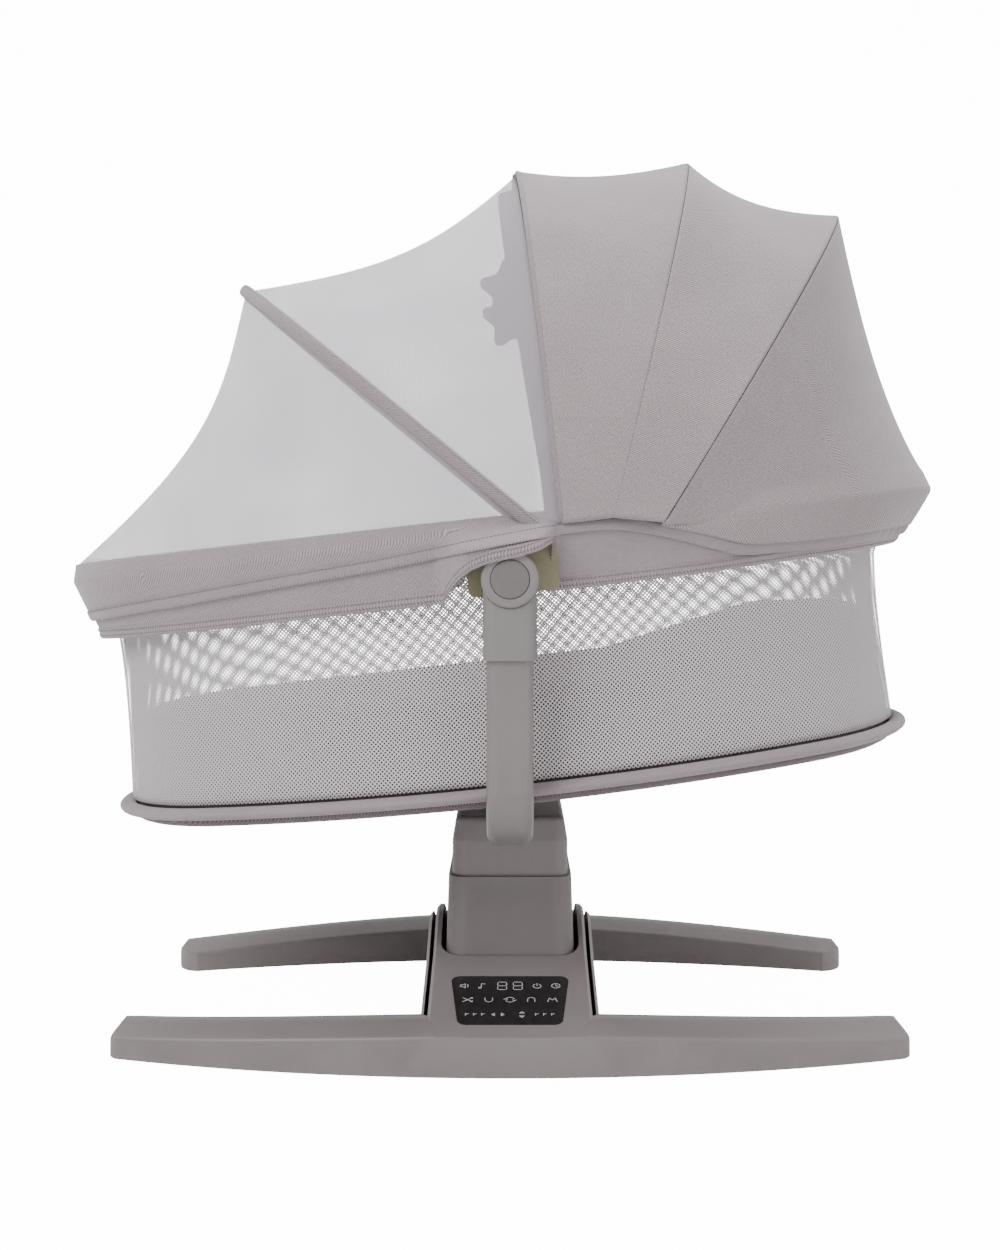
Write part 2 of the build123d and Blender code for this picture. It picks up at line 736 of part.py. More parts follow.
def hub_ring():
    """Trim ring round the button."""
    ring = bar_y(HUB_R, -RING_FACE, -RING_FACE + 5.6, z=HUB_Z)
    edge = ring.edges().filter_by(GeomType.CIRCLE).sort_by(Axis.Y)[0]
    ring = fillet(edge, 2.0)
    return ring - bar_y(BUTTON_R + 0.4, -RING_FACE - 1, -RING_FACE + 7, z=HUB_Z)


def tilt_button():
    """Push button in the hub that frees the tilt."""
    button = bar_y(BUTTON_R, -BUTTON_FACE, -AXLE_END - 4 - BUTTON_TRAVEL, z=HUB_Z)
    edge = button.edges().filter_by(GeomType.CIRCLE).sort_by(Axis.Y)[0]
    return fillet(edge, 1.5)


# ---------------------------------------------------------------- cot pieces, in the cot's frame
def hub_bracket():
    """Plate on the rim tube that carries the hub axle."""
    u0, u1, v0, v1 = BRACKET
    y0 = -BRACKET_Y - BRACKET_THICK
    plate = block(u0, u1, y0, -BRACKET_Y, v0, v1)
    plate = fillet(plate.edges().filter_by(Axis.Y), 8.0)
    return plate - bar_y(AXLE_R, -300, -200)


def hub_axle():
    """Axle that turns in the arm."""
    return bar_y(AXLE_R, -AXLE_END, -BRACKET_Y)


def hood_hinge():
    """Post on the rim tube that holds the hood's pin."""
    y0 = -HINGE_PLATE_Y - BOW_THICK
    low = RIM_Z + RIM_TUBE_R + 0.2
    seat = block(HINGE_U - 12, HINGE_U + 12, y0, -222, low, HINGE_V - EYE_R - 3)
    plate = block(HINGE_U - 12, HINGE_U + 12, y0, -HINGE_PLATE_Y, low, HINGE_V)
    plate = plate + bar_y(12, y0, -HINGE_PLATE_Y, HINGE_U, HINGE_V)
    return seat + plate - bar_y(HINGE_PIN_R, -300, -200, HINGE_U, HINGE_V)


def hinge_pin():
    """Pin through the eyes of the bows, with a head inside."""
    inner = bow_half_width(4) - BOW_THICK - 0.8
    y0 = -HINGE_PLATE_Y - BOW_THICK
    pin = bar_y(HINGE_PIN_R, y0, -inner, HINGE_U, HINGE_V)
    return pin + bar_y(HINGE_PIN_R + 3, -inner, -inner + 2, HINGE_U, HINGE_V)


def mattress():
    """Flat mattress with a raised head, cut to the cot's oval."""
    lows = BOARD_LEVELS[1] + GAP
    points = [
        (-460, lows),
        (420, lows),
        (420, MATTRESS_HEAD),
        (263, MATTRESS_HEAD),
        (100, MATTRESS_MID),
        (-150, MATTRESS_MID),
        (-460, MATTRESS_FOOT),
    ]
    side = make_face(Polyline(*points, close=True))
    form = extrude(Plane.XZ * side, 400, both=True)
    size = (MESH_LOW[0] - MATTRESS_GAP, MESH_LOW[1] - MATTRESS_GAP, MESH_LOW[2] - MATTRESS_GAP, MESH_LOW[3])
    return form & prism(oval(size), -250, 0)


def rim_band():
    """Fabric band over the rim, open round each hub."""
    band = oval_wall((BAND_LOW, BAND_WIDE, BAND_HIGH), BAND_LEVELS, BAND_THICK)
    u0, u1, v0, v1 = WINDOW
    for side in (-1, 1):
        y0, y1 = sorted((side * 235, side * 260))
        band = band - block(u0, u1, y0, y1, v0, v1)
    return band


def bottom_cover():
    """Padded fabric bottom under the board."""
    size = (BOARD[0], BOARD[1], BOARD[2], BOARD[3])
    slab = prism(oval(size), COVER_LOW, BOARD_LEVELS[0] - GAP)
    low = slab.edges().filter_by(lambda e: abs(e.center().Z - COVER_LOW) < 0.01)
    return fillet(low, 8.0)


def star(u, y, v):
    """Soft five-pointed star with round points."""
    points = []
    for i in range(10):
        radius = STAR_R if i % 2 == 0 else 0.55 * STAR_R
        turn = math.radians(90 + 36 * i)
        points.append((radius * math.cos(turn), radius * math.sin(turn)))
    face = make_face(Polyline(*points, close=True))
    face = fillet(face.vertices(), 8.0)
    return Pos(u, y, v) * extrude(Plane.XZ * face, STAR_THICK / 2, both=True)


# ---------------------------------------------------------------- writing
def write_base():
    """Root body: everything that stands still on the floor."""
    outer = chamfered_housing()
    write("base_housing", base_housing(outer))
    write("base_bottom_plate", bottom_plate())
    leg = front_right_leg(outer)
    write("front_leg_right", leg)
    write("front_leg_left", left_side(leg))
    write("rear_leg_right", far_side(leg))
    write("rear_leg_left", far_side(left_side(leg)))
    write("rubber_feet", rubber_feet())
    write("panel_glass", panel_glass())
    write("control_board", control_board())
    write("speaker", speaker())
    write("dc_socket", dc_socket())
    write("base_screws", base_screws())
    write("bearing_blocks", group(bearing_block(), far_side(bearing_block())))
    write("sway_bearings", group(sway_bearing(), far_side(sway_bearing())))
    write("sway_gearbox", sway_gearbox())
    write("sway_motor", bar_y(15, 24, 56, x=40, z=28) + bar_y(5, 56, 60, x=40, z=28))


def write_column():
    """Swaying body and the screw that it carries."""
    shell = column_shell()
    write("column_shell_front", shell & block(-100, 100, -120, -0.1, 0, 200))
    write("column_shell_rear", shell & block(-100, 100, 0.1, 120, 0, 200))
    write("column_frame", column_frame())
    write("sway_shaft", bar_y(SHAFT_R, -72, 72, z=SWAY_Z))
    write("guide_rods", guide_rods())
    write("lift_gearbox", lift_gearbox())
    write("lift_motor", bar_z(14, GEARBOX_TOP, 112, y=40))
    write("lift_screw", lift_screw())


def write_head():
    """Lifting body: head, yoke and the hubs with their buttons."""
    write("head_shell", head_shell())
    write("lift_carriage", lift_carriage())
    write("lift_nut", lift_nut())
    write("slide_bushes", slide_bushes())
    write("yoke_saddle", yoke_saddle())
    write("hub_rings", group(hub_ring(), far_side(hub_ring())))
    for name, side in (("near", lambda s: s), ("far", far_side)):
        write(f"arm_tube_{name}", side(arm_tube()))
        write(f"arm_sleeve_{name}", side(arm_sleeve()))
        write(f"tilt_button_{name}", side(tilt_button()))


def write_cot():
    """Tilting body: frame, mesh, mattress and covers."""
    write("rim_tube", COT * oval_tube(RIM, RIM_Z, RIM_TUBE_R))
    write("bottom_hoop", COT * oval_tube(HOOP, HOOP_Z, HOOP_R))
    write("hub_bracket_near", COT * hub_bracket())
    write("hub_bracket_far", COT * far_side(hub_bracket()))
    write("hub_axles", COT * group(hub_axle(), far_side(hub_axle())))
    write("hood_hinges", COT * group(hood_hinge(), far_side(hood_hinge())))
    write("hinge_pins", COT * group(hinge_pin(), far_side(hinge_pin())))
    write("base_board", COT * prism(oval(BOARD), *BOARD_LEVELS))
    write("mattress", COT * mattress())
    sizes = (MESH_LOW, MESH_MID, MESH_HIGH)
    write("mesh_wall", COT * oval_wall(sizes, MESH_LEVELS, MESH_THICK))
    write("rim_band", COT * rim_band())
    write("bottom_cover", COT * bottom_cover())


def write_hood():
    """Folding bodies: four bows and the cloth between them, and the toy bar."""
    write("hood_bow_front", COT * bow(FRONT_BOW, 0, BOW_UNDER))
    write("hood_bow_mid", COT * bow(MID_BOW, 1, BOW_UNDER))
    write("hood_bow_rear", COT * bow(REAR_BOW, 2, BOW_UNDER))
    write("net_bow", COT * bow(NET_BOW, 3, NET_UNDER))
    write("hood_panel_rear", COT * panel((HEAD_HEM, REAR_BOW), CLOTH))
    write("hood_panel_mid", COT * panel((REAR_BOW, MID_BOW), CLOTH))
    write("hood_panel_front", COT * panel((MID_BOW, FRONT_BOW), CLOTH))
    write("net_panel_top", COT * panel((FRONT_BOW, NET_DIP, NET_BOW), NET_CLOTH))
    write("net_panel_foot", COT * panel((NET_BOW, FOOT_DIP, FOOT_HEM), NET_CLOTH))
    write("toy_bar", COT * bow(TOY_BOW, 4, 0.0))
    write("toy_star_light", COT * star(34, 98, 313))
    write("toy_star_dark", COT * star(33, 127, 284))


write_base()
write_column()
write_head()
write_cot()
write_hood()
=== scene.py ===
# %% [markdown]
# # A cot that swings on a lifting column
#
# The hard parts come ready made from the frame: the rocking base, the two-part column,
# the arms, the hubs and the bows. This lesson dresses them. It makes the fabric rim, the
# woven mesh wall, the hood, the fly net, the mattress, the toys and the marks on the
# control panel, and it gives every hard part a finish.

# %% Start from the frame
import math

import bpy
import numpy as np
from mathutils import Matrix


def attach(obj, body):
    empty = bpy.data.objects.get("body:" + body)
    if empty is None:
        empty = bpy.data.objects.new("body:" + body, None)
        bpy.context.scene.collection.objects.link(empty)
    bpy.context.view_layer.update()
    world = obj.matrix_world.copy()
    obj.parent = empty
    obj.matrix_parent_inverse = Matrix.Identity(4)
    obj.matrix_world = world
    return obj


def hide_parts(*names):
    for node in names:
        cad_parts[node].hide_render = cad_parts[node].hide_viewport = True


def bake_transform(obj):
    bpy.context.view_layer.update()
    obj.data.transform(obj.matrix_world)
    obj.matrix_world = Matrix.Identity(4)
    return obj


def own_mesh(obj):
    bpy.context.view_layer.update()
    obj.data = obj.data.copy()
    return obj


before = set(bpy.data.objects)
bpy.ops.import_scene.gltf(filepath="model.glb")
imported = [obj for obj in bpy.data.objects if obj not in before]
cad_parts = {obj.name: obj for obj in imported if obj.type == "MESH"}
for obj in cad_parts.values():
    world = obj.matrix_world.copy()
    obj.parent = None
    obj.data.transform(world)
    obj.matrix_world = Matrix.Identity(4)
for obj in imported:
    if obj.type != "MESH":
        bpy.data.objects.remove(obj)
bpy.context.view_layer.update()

# %% [markdown]
# ## Measures
#
# Lengths are in metres. The cot leans head end up about the hub axis, so its own pieces
# are made level, in along, across and up, and turned at the end. The outlines of rim,
# mesh and bottom are flat ovals: half length, half width, end radius and centre. A bow
# is its angle in degrees from the head side and its reach from the hinge line. The hem
# of the cover is given by its height at places along the cot, and then softened.

# %% Measures
LEAN = math.radians(6.2)
HUB = (0.008, 0.455)
HINGE = np.array([0.068, 0.060])
BAND_LEVELS = [-0.016, 0.039, 0.055]
BAND_SIZES = np.array(
    [[0.412, 0.2415, 0.184, -0.016], [0.442, 0.250, 0.192, -0.006], [0.438, 0.2475, 0.190, -0.006]]
)
MESH_LEVELS = [-0.1852, -0.016, 0.0188]
MESH_SIZES = np.array(
    [[0.397, 0.226, 0.176, -0.018], [0.399, 0.228, 0.178, -0.016], [0.419, 0.234, 0.180, -0.009]]
)
HOOP = [0.3985, 0.2261, 0.176, -0.018]
BOARD = [0.388, 0.216, 0.170, -0.018]
CLOTH_HALF_WIDTH = 0.2535
FRONT_BOW = (92.7, 0.3505)
MID_BOW = (65.1, 0.3745)
REAR_BOW = (41.5, 0.4065)
NET_BOW = (140.0, 0.4035)
TOY_BOW = (94.0, 0.3330)
ARCH_POWER = 0.89
HEM_ALONG = [-0.46, -0.234, -0.118, 0.0, 0.0516, 0.0974, 0.137, 0.180, 0.241, 0.330, 0.41, 0.46]
HEM_LEVEL = [-0.004, 0.012, 0.019, 0.030, 0.0337, 0.0341, 0.0254, 0.0136, -0.0036, -0.006]
HEM_LEVEL += [-0.003, -0.003]
PUCKER_PITCH = 0.017
COVER_OUT = 0.0045
HOOD_THICK = 0.0016
NET_THICK = 0.0005
ARCH_POINTS = 161
FINE_ALONG = np.linspace(-0.52, 0.52, 521)
sharp = np.interp(FINE_ALONG, HEM_ALONG, HEM_LEVEL)
softened = np.convolve(sharp, np.hanning(33) / np.hanning(33).sum(), "same")
FINE_LEVEL = np.where(np.abs(FINE_ALONG) < 0.47, softened, sharp)
print("hem runs from", min(HEM_LEVEL), "to", max(HEM_LEVEL), "beside the hub")

# %% [markdown]
# ## Shapes as arrays
#
# Each piece is a grid of points worked out all at once. A point on an oval is found from
# the direction its outline faces, so ovals of different size line up row by row.


# %% Shapes as arrays
def cot(points):
    """Level cot to the real one: turned by the lean about the hub, then lifted to it."""
    along, across, up = np.moveaxis(np.asarray(points, float), -1, 0)
    c, s = math.cos(LEAN), math.sin(LEAN)
    return np.stack([HUB[0] + along * c - up * s, across, HUB[1] + along * s + up * c], -1)


def smooth(x, low, high):
    """0 before low, 1 after high, and an S curve between them."""
    t = np.clip((x - low) / (high - low), 0, 1)
    return t * t * (3 - 2 * t)


def oval_point(facing, size, out=0.0):
    """Point of the oval whose outline faces this way: its arc's centre plus the arc's radius."""
    half_length, half_width, end_r, centre = np.moveaxis(np.asarray(size, float), -1, 0)
    reach = half_length - end_r
    side_r = (reach**2 + half_width**2 - end_r**2) / (2 * (half_width - end_r))
    c, s = np.cos(facing), np.sin(facing)
    on_end = np.arctan2(np.abs(s), np.abs(c)) <= np.arctan2(side_r - half_width, reach)
    along = np.where(on_end, np.sign(c) * reach + (end_r + out) * c, (side_r + out) * c)
    on_side = (side_r + out) * s - np.sign(s) * (side_r - half_width)
    across = np.where(on_end, (end_r + out) * s, on_side)
    return centre + along, across


def even_facings(size, count, start=0.0, stop=2 * math.pi):
    """Directions that divide the oval's outline evenly, from one direction to another."""
    fine = np.linspace(start, stop, 6000)
    along, across = oval_point(fine, size)
    run = np.concatenate([[0], np.cumsum(np.hypot(np.diff(along), np.diff(across)))])
    return np.interp(np.linspace(0, run[-1], count), run, fine)


def size_at(level, levels, sizes):
    """The oval at a height, between the ones that are given."""
    return np.stack([np.interp(level, levels, sizes[:, k]) for k in range(4)], -1)


def quads(rows, cols, round_rows=False, round_cols=False):
    """Four corners of every cell of a grid of points."""
    i = np.arange(rows if round_rows else rows - 1)[:, None]
    j = np.arange(cols if round_cols else cols - 1)[None, :]
    i2, j2 = (i + 1) % rows, (j + 1) % cols
    cells = np.stack([i * cols + j, i * cols + j2, i2 * cols + j2, i2 * cols + j], -1)
    return cells.reshape(-1, 4)


def volume(points, faces):
    """Signed volume inside closed faces of four corners: a sum of slices from the middle."""
    p = points[faces] - points.mean(0)
    first = np.einsum("ij,ij->i", p[:, 0], np.cross(p[:, 1], p[:, 2]))
    second = np.einsum("ij,ij->i", p[:, 0], np.cross(p[:, 2], p[:, 3]))
    return (first + second).sum() / 6


def put(name, points, faces, flat, material, body):
    """A finished mesh object with its flat pattern as UV, riding on a body."""
    points = np.asarray(points, float).reshape(-1, 3)
    if volume(points, faces) < 0:
        faces = faces[:, ::-1]
    mesh = bpy.data.meshes.new(name)
    mesh.from_pydata(points.tolist(), [], faces.tolist())
    mesh.uv_layers.new(name="Flat").data.foreach_set("uv", np.asarray(flat)[faces.ravel()].ravel())
    mesh.polygons.foreach_set("use_smooth", np.ones(len(faces), bool))
    mesh.materials.append(material)
    mesh.update()
    piece = bpy.data.objects.new(name, mesh)
    bpy.context.scene.collection.objects.link(piece)
    if body:
        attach(piece, body)
    print(f"{name}: {len(points)} points, {len(faces)} faces")
    return piece


def lengths(grid, axis):
    """Distance run along a grid from its first row or column."""
    step = np.linalg.norm(np.diff(grid, axis=axis), axis=-1)
    first = np.zeros_like(np.take(step, [0], axis=axis))
    return np.concatenate([first, np.cumsum(step, axis=axis)], axis=axis)


def cloth(name, grid, thick, material, body):
    """Closed thin sheet: the grid and a copy moved along its normals, joined at the edges."""
    rows, cols = grid.shape[:2]
    normal = np.cross(np.gradient(grid, axis=0), np.gradient(grid, axis=1))
    normal /= np.maximum(np.linalg.norm(normal, axis=-1, keepdims=True), 1e-9)
    points = np.concatenate([grid, (grid - thick * normal)[:, ::-1]], axis=1)
    flat = np.stack([lengths(grid, 0), lengths(grid, 1)], -1)
    flat = np.concatenate([flat, flat[:, ::-1]], axis=1).reshape(-1, 2)
    j = np.arange(cols - 1)
    first = np.stack([j, 2 * cols - 1 - j, 2 * cols - 2 - j, j + 1], -1)
    last = (first + (rows - 1) * 2 * cols)[:, ::-1]
    faces = np.concatenate([quads(rows, 2 * cols, round_cols=True), first, last])
    return put(name, points, faces, flat, material, body)


def hoop(name, grid, material, body):
    """Closed ring: the grid's rows go round the cot and its columns round the section."""
    rows, cols = grid.shape[:2]
    round_way = np.concatenate([grid, grid[:, :1]], axis=1)
    flat = np.stack([lengths(grid, 0), lengths(round_way, 1)[:, :-1]], -1).reshape(-1, 2)
    return put(name, grid, quads(rows, cols, True, True), flat, material, body)


def sweep(name, path, normal, half_width, half_thick, material, body, sides=12):
    """Oval bar along a path; the normal points the way that the bar is thin."""
    closed = np.linalg.norm(path[0] - path[-1]) < 1e-6
    if closed:
        path, normal = path[:-1], normal[:-1]
        ahead = np.roll(path, -1, 0) - np.roll(path, 1, 0)
    else:
        ahead = np.gradient(path, axis=0)
    ahead /= np.linalg.norm(ahead, axis=1, keepdims=True)
    across = np.cross(ahead, normal)
    across /= np.linalg.norm(across, axis=1, keepdims=True)
    normal = np.cross(across, ahead)
    turn = np.linspace(0, 2 * math.pi, sides, endpoint=False)[None, :, None]
    size = np.ones((len(path), 1, 1))
    if not closed:
        size[0] = size[-1] = 0.05
    ring = half_width * np.cos(turn) * across[:, None] + half_thick * np.sin(turn) * normal[:, None]
    grid = path[:, None] + size * ring
    if closed:
        return hoop(name, grid, material, body)
    flat = np.stack([lengths(grid, 0), lengths(grid, 1)], -1).reshape(-1, 2)
    half = sides // 2
    k = np.arange(half - 1)
    cap = np.stack([k, k + 1, sides - 2 - k, sides - 1 - k], -1)
    far_cap = cap + (len(path) - 1) * sides
    faces = np.concatenate([quads(len(path), sides, False, True), cap[:, ::-1], far_cap])
    return put(name, grid, faces, flat, material, body)


def even_path(path, count):
    """The same line with evenly spaced points."""
    run = lengths(path, 0)
    at = np.linspace(0, run[-1], count)
    return np.stack([np.interp(at, run, path[:, k]) for k in range(path.shape[1])], -1)


def stitches(name, path, normal, material, body, pitch=0.0036, long=0.0024, thick=0.00045):
    """A row of short threads laid end to end along a line, each a small block."""
    both = np.concatenate([path, normal], -1)
    run = lengths(path, 0)
    count = max(3, int(run[-1] / pitch))
    at = np.linspace(0, run[-1], count)
    both = np.stack([np.interp(at, run, both[:, k]) for k in range(6)], -1)
    middle, normal = both[:, :3], both[:, 3:]
    ahead = np.gradient(middle, axis=0)
    ahead /= np.linalg.norm(ahead, axis=1, keepdims=True)
    across = np.cross(ahead, normal)
    across /= np.linalg.norm(across, axis=1, keepdims=True)
    up = np.cross(across, ahead)
    corners = []
    for a in (-1, 1):
        for b, c in [(-1, -1), (1, -1), (1, 1), (-1, 1)]:
            corners.append(middle + 0.5 * a * long * ahead + b * thick * across + c * thick * up)
    points = np.stack(corners, 1).reshape(-1, 3)
    block = [[0, 1, 2, 3], [7, 6, 5, 4], [0, 4, 5, 1], [1, 5, 6, 2], [2, 6, 7, 3], [3, 7, 4, 0]]
    faces = (np.array(block)[None] + 8 * np.arange(count)[:, None, None]).reshape(-1, 4)
    return put(name, points, faces, np.zeros((len(points), 2)), material, body)


print("hem outline", np.round(oval_point(np.zeros(1), BAND_SIZES[1]), 4).ravel(), "at the head tip")

# %% [markdown]
# ## Finishes
#
# Every finish is made from nodes. Moulded plastic gets a fine grain and slightly rubbed
# edges. Cloth takes its threads from the flat pattern of its piece, so the weave keeps
# one scale over the whole cot.


# %% Finishes
def linear(code):
    """Colour code as seen on a screen to the linear values a shader takes."""
    value = np.array([int(code[k : k + 2], 16) for k in (0, 2, 4)]) / 255
    return (*np.where(value > 0.04045, ((value + 0.055) / 1.055) ** 2.4, value / 12.92), 1.0)


def finish(name, **sockets):
    """A new material, its tree and its main shader with the values given."""
    made = bpy.data.materials.new(name)
    made.use_nodes = True
    tree = made.node_tree
    shader = tree.nodes["Principled BSDF"]
    for socket, value in sockets.items():
        shader.inputs[socket.replace("_", " ")].default_value = value
    return made, tree, shader


def node(tree, kind, links=(), **settings):
    """A node with its settings, and links or values for its inputs."""
    made = tree.nodes.new("ShaderNode" + kind)
    for name, value in settings.items():
        setattr(made, name, value)
    for socket, value in dict(links).items():
        if isinstance(value, bpy.types.NodeSocket):
            tree.links.new(value, made.inputs[socket])
        else:
            made.inputs[socket].default_value = value
    return made


def maths(tree, operation, first, second=0.0):
    """One sum on two numbers or sockets."""
    return node(tree, "Math", {0: first, 1: second}, operation=operation).outputs[0]


def moulded(name, code, rough=0.5, grain=0.25, size=900.0, metal=0.0):
    """Plastic or paint: a fine grain, faint mottling, and edges rubbed a little lighter."""
    colour = linear(code)
    made, tree, shader = finish(name, Roughness=rough, Metallic=metal)
    where = node(tree, "TexCoord").outputs["Object"]
    broad = node(tree, "TexNoise", {"Vector": where, "Scale": 9.0, "Detail": 3.0})
    fine = node(tree, "TexNoise", {"Vector": where, "Scale": size, "Detail": 2.0})
    edge = node(tree, "NewGeometry").outputs["Pointiness"]
    worn = node(tree, "MapRange", {0: edge, 1: 0.51, 2: 0.56, 3: 0.0, 4: 0.22}).outputs[0]
    tint = node(tree, "MapRange", {0: broad.outputs[0], 1: 0.3, 2: 0.7, 3: 0.94, 4: 1.06}).outputs[0]
    base = node(tree, "HueSaturation", {"Value": tint, "Color": colour}).outputs[0]
    light = tuple(min(1.0, 1.5 * c) for c in colour[:3]) + (1.0,)
    mixed = node(tree, "Mix", {0: worn, 6: base, 7: light}, data_type="RGBA").outputs[2]
    tree.links.new(mixed, shader.inputs["Base Color"])
    uneven = node(tree, "MapRange", {0: broad.outputs[0], 3: rough - 0.06, 4: rough + 0.08}).outputs[0]
    tree.links.new(uneven, shader.inputs["Roughness"])
    bump = node(tree, "Bump", {"Height": fine.outputs[0], "Strength": grain, "Distance": 0.0002})
    tree.links.new(bump.outputs[0], shader.inputs["Normal"])
    return made


def twill(name, light, dark, pitch=0.0021, lean=1.0, depth=0.45, rough=0.9):
    """Twill: diagonal ribs of mixed light and dark thread, raised a little, with a soft sheen."""
    made, tree, shader = finish(name, Roughness=rough, Sheen_Weight=0.35, Sheen_Roughness=0.5)
    where = node(tree, "UVMap", uv_map="Flat").outputs[0]
    turned = node(tree, "Mapping", {"Vector": where, "Scale": (1.0, lean, 1.0)}).outputs[0]
    scale = 2 * math.pi / (10 * pitch * math.sqrt(2))
    ribs = node(
        tree,
        "TexWave",
        {"Vector": turned, "Scale": scale, "Distortion": 1.6, "Detail": 2.0, "Detail Scale": 1.2},
        wave_type="BANDS",
        bands_direction="DIAGONAL",
    ).outputs[1]
    thread = node(tree, "Mapping", {"Vector": turned, "Rotation": (0, 0, 0.79), "Scale": (1, 0.3, 1)})
    flecks = node(tree, "TexNoise", {"Vector": thread.outputs[0], "Scale": 1100.0, "Detail": 2.0})
    flecks = flecks.outputs[0]
    place = node(tree, "TexCoord").outputs["Object"]
    broad = node(tree, "TexNoise", {"Vector": place, "Scale": 14.0, "Detail": 4.0}).outputs[0]
    mix = maths(tree, "ADD", maths(tree, "MULTIPLY", ribs, 0.55), maths(tree, "MULTIPLY", flecks, 0.75))
    mix = node(tree, "MapRange", {0: mix, 1: 0.28, 2: 1.0}).outputs[0]
    base = node(tree, "Mix", {0: mix, 6: linear(dark), 7: linear(light)}, data_type="RGBA").outputs[2]
    value = node(tree, "MapRange", {0: broad, 1: 0.3, 2: 0.7, 3: 0.95, 4: 1.05}).outputs[0]
    base = node(tree, "HueSaturation", {"Value": value, "Color": base}).outputs[0]
    tree.links.new(base, shader.inputs["Base Color"])
    height = maths(tree, "ADD", maths(tree, "MULTIPLY", ribs, 0.6), maths(tree, "MULTIPLY", flecks, 0.4))
    bump = node(tree, "Bump", {"Height": height, "Strength": depth, "Distance": 0.0004})
    tree.links.new(bump.outputs[0], shader.inputs["Normal"])
    return made


def air_mesh(name, code, across=0.0043, up=0.0042, hole=0.00095):
    """Spacer mesh: rounded threads round staggered open holes."""
    made, tree, shader = finish(name, Roughness=0.75, Sheen_Weight=0.25)
    shader.inputs["Base Color"].default_value = linear(code)
    parts = node(tree, "SeparateXYZ", {0: node(tree, "UVMap", uv_map="Flat").outputs[0]})
    x = maths(tree, "DIVIDE", parts.outputs[0], across)
    y = maths(tree, "DIVIDE", parts.outputs[1], up)

    def from_centre(shift):
        px = maths(tree, "SUBTRACT", maths(tree, "FRACT", maths(tree, "ADD", x, shift)), 0.5)
        py = maths(tree, "SUBTRACT", maths(tree, "FRACT", maths(tree, "ADD", y, shift)), 0.5)
        px, py = maths(tree, "MULTIPLY", px, across), maths(tree, "MULTIPLY", py, up)
        squares = maths(tree, "POWER", px, 2.0), maths(tree, "POWER", py, 2.0)
        return maths(tree, "SQRT", maths(tree, "ADD", *squares))

    near = maths(tree, "MINIMUM", from_centre(0.0), from_centre(0.5))
    solid = node(tree, "MapRange", {0: near, 1: hole - 0.0001, 2: hole + 0.0001}).outputs[0]
    tree.links.new(solid, shader.inputs["Alpha"])
    ramp = {0: near, 1: hole, 2: 2 * hole}
    height = node(tree, "MapRange", ramp, interpolation_type="SMOOTHSTEP").outputs[0]
    bump = node(tree, "Bump", {"Height": height, "Strength": 0.6, "Distance": 0.0005})
    tree.links.new(bump.outputs[0], shader.inputs["Normal"])
    return made


def sheer(name, code, cover=0.56):
    """Fly net too fine to see its holes: an even share is thread, in faint ribs, the rest is open."""
    made, tree, shader = finish(name, Roughness=0.8, Sheen_Weight=0.3)
    where = node(tree, "UVMap", uv_map="Flat").outputs[0]
    fine = node(tree, "TexNoise", {"Vector": where, "Scale": 420.0, "Detail": 2.0}).outputs[0]
    broad = node(tree, "TexNoise", {"Vector": where, "Scale": 9.0, "Detail": 2.0}).outputs[0]
    soft = node(tree, "MapRange", {0: fine, 3: 0.95, 4: 1.05}).outputs[0]
    base = node(tree, "HueSaturation", {"Value": soft, "Color": linear(code)}).outputs[0]
    tree.links.new(base, shader.inputs["Base Color"])
    waves = {"Vector": where, "Scale": 190.0, "Distortion": 0.6}
    ribs = node(tree, "TexWave", waves, bands_direction="X").outputs[1]
    weave = node(tree, "MapRange", {0: ribs, 3: cover - 0.06, 4: cover + 0.06}).outputs[0]
    patch = node(tree, "MapRange", {0: broad, 1: 0.3, 2: 0.7, 3: -0.03, 4: 0.03}).outputs[0]
    tree.links.new(maths(tree, "ADD", weave, patch), shader.inputs["Alpha"])
    bump = node(tree, "Bump", {"Height": ribs, "Strength": 0.15, "Distance": 0.0003})
    tree.links.new(bump.outputs[0], shader.inputs["Normal"])
    return made


shell = moulded("shell plastic", "857D7D", rough=0.42, grain=0.12)
legs = moulded("leg plastic", "857D7D", rough=0.40, grain=0.12)
column = moulded("column plastic", "7B7374", rough=0.42, grain=0.12)
sleeve = moulded("sleeve plastic", "7E7979", rough=0.5, grain=0.3)
arm_paint = moulded("arm paint", "807A7A", rough=0.36, grain=0.15, metal=0.15)
button = moulded("button plastic", "736E6E", rough=0.38, grain=0.1)
rubber = moulded("rubber", "3A3738", rough=0.85, grain=0.6, size=500)
dark_plastic = moulded("dark plastic", "4B4648", rough=0.55, grain=0.2)
bracket = moulded("bracket plastic", "8C866C", rough=0.5, grain=0.2)
steel = moulded("bright steel", "B4B2B0", rough=0.3, grain=0.1, metal=1.0)
bronze = moulded("bronze bush", "94703C", rough=0.35, grain=0.2, metal=1.0)
green_board = moulded("circuit board", "23523A", rough=0.45, grain=0.2)
fibre_board = moulded("fibre board", "6E6460", rough=0.8, grain=0.7, size=350)
twill_rim = twill("rim twill", "B9ABB0", "7A6E74", lean=-1.0)
twill_hood = twill("hood twill", "BDB0B3", "7E7276", lean=1.0)
twill_fine = twill("binding twill", "AFA2A6", "73686D", pitch=0.0016, lean=-1.0)
twill_dark = twill("mattress twill", "51484B", "2C2729", pitch=0.0018)
cover_cloth = twill("cover twill", "7F7378", "544A4E", pitch=0.0018)
strap_cloth = twill("strap weave", "7E6F6C", "524744", pitch=0.0024, lean=0.15, depth=0.8)
thread = twill("sewing thread", "A3979B", "7E7377", pitch=0.0005)
# Painted shadow: dark twill for the strips laid where the hood's seams and darts fold in.
painted_seam_shadow = twill("seam shadow", "4A4246", "332D30", pitch=0.0008)
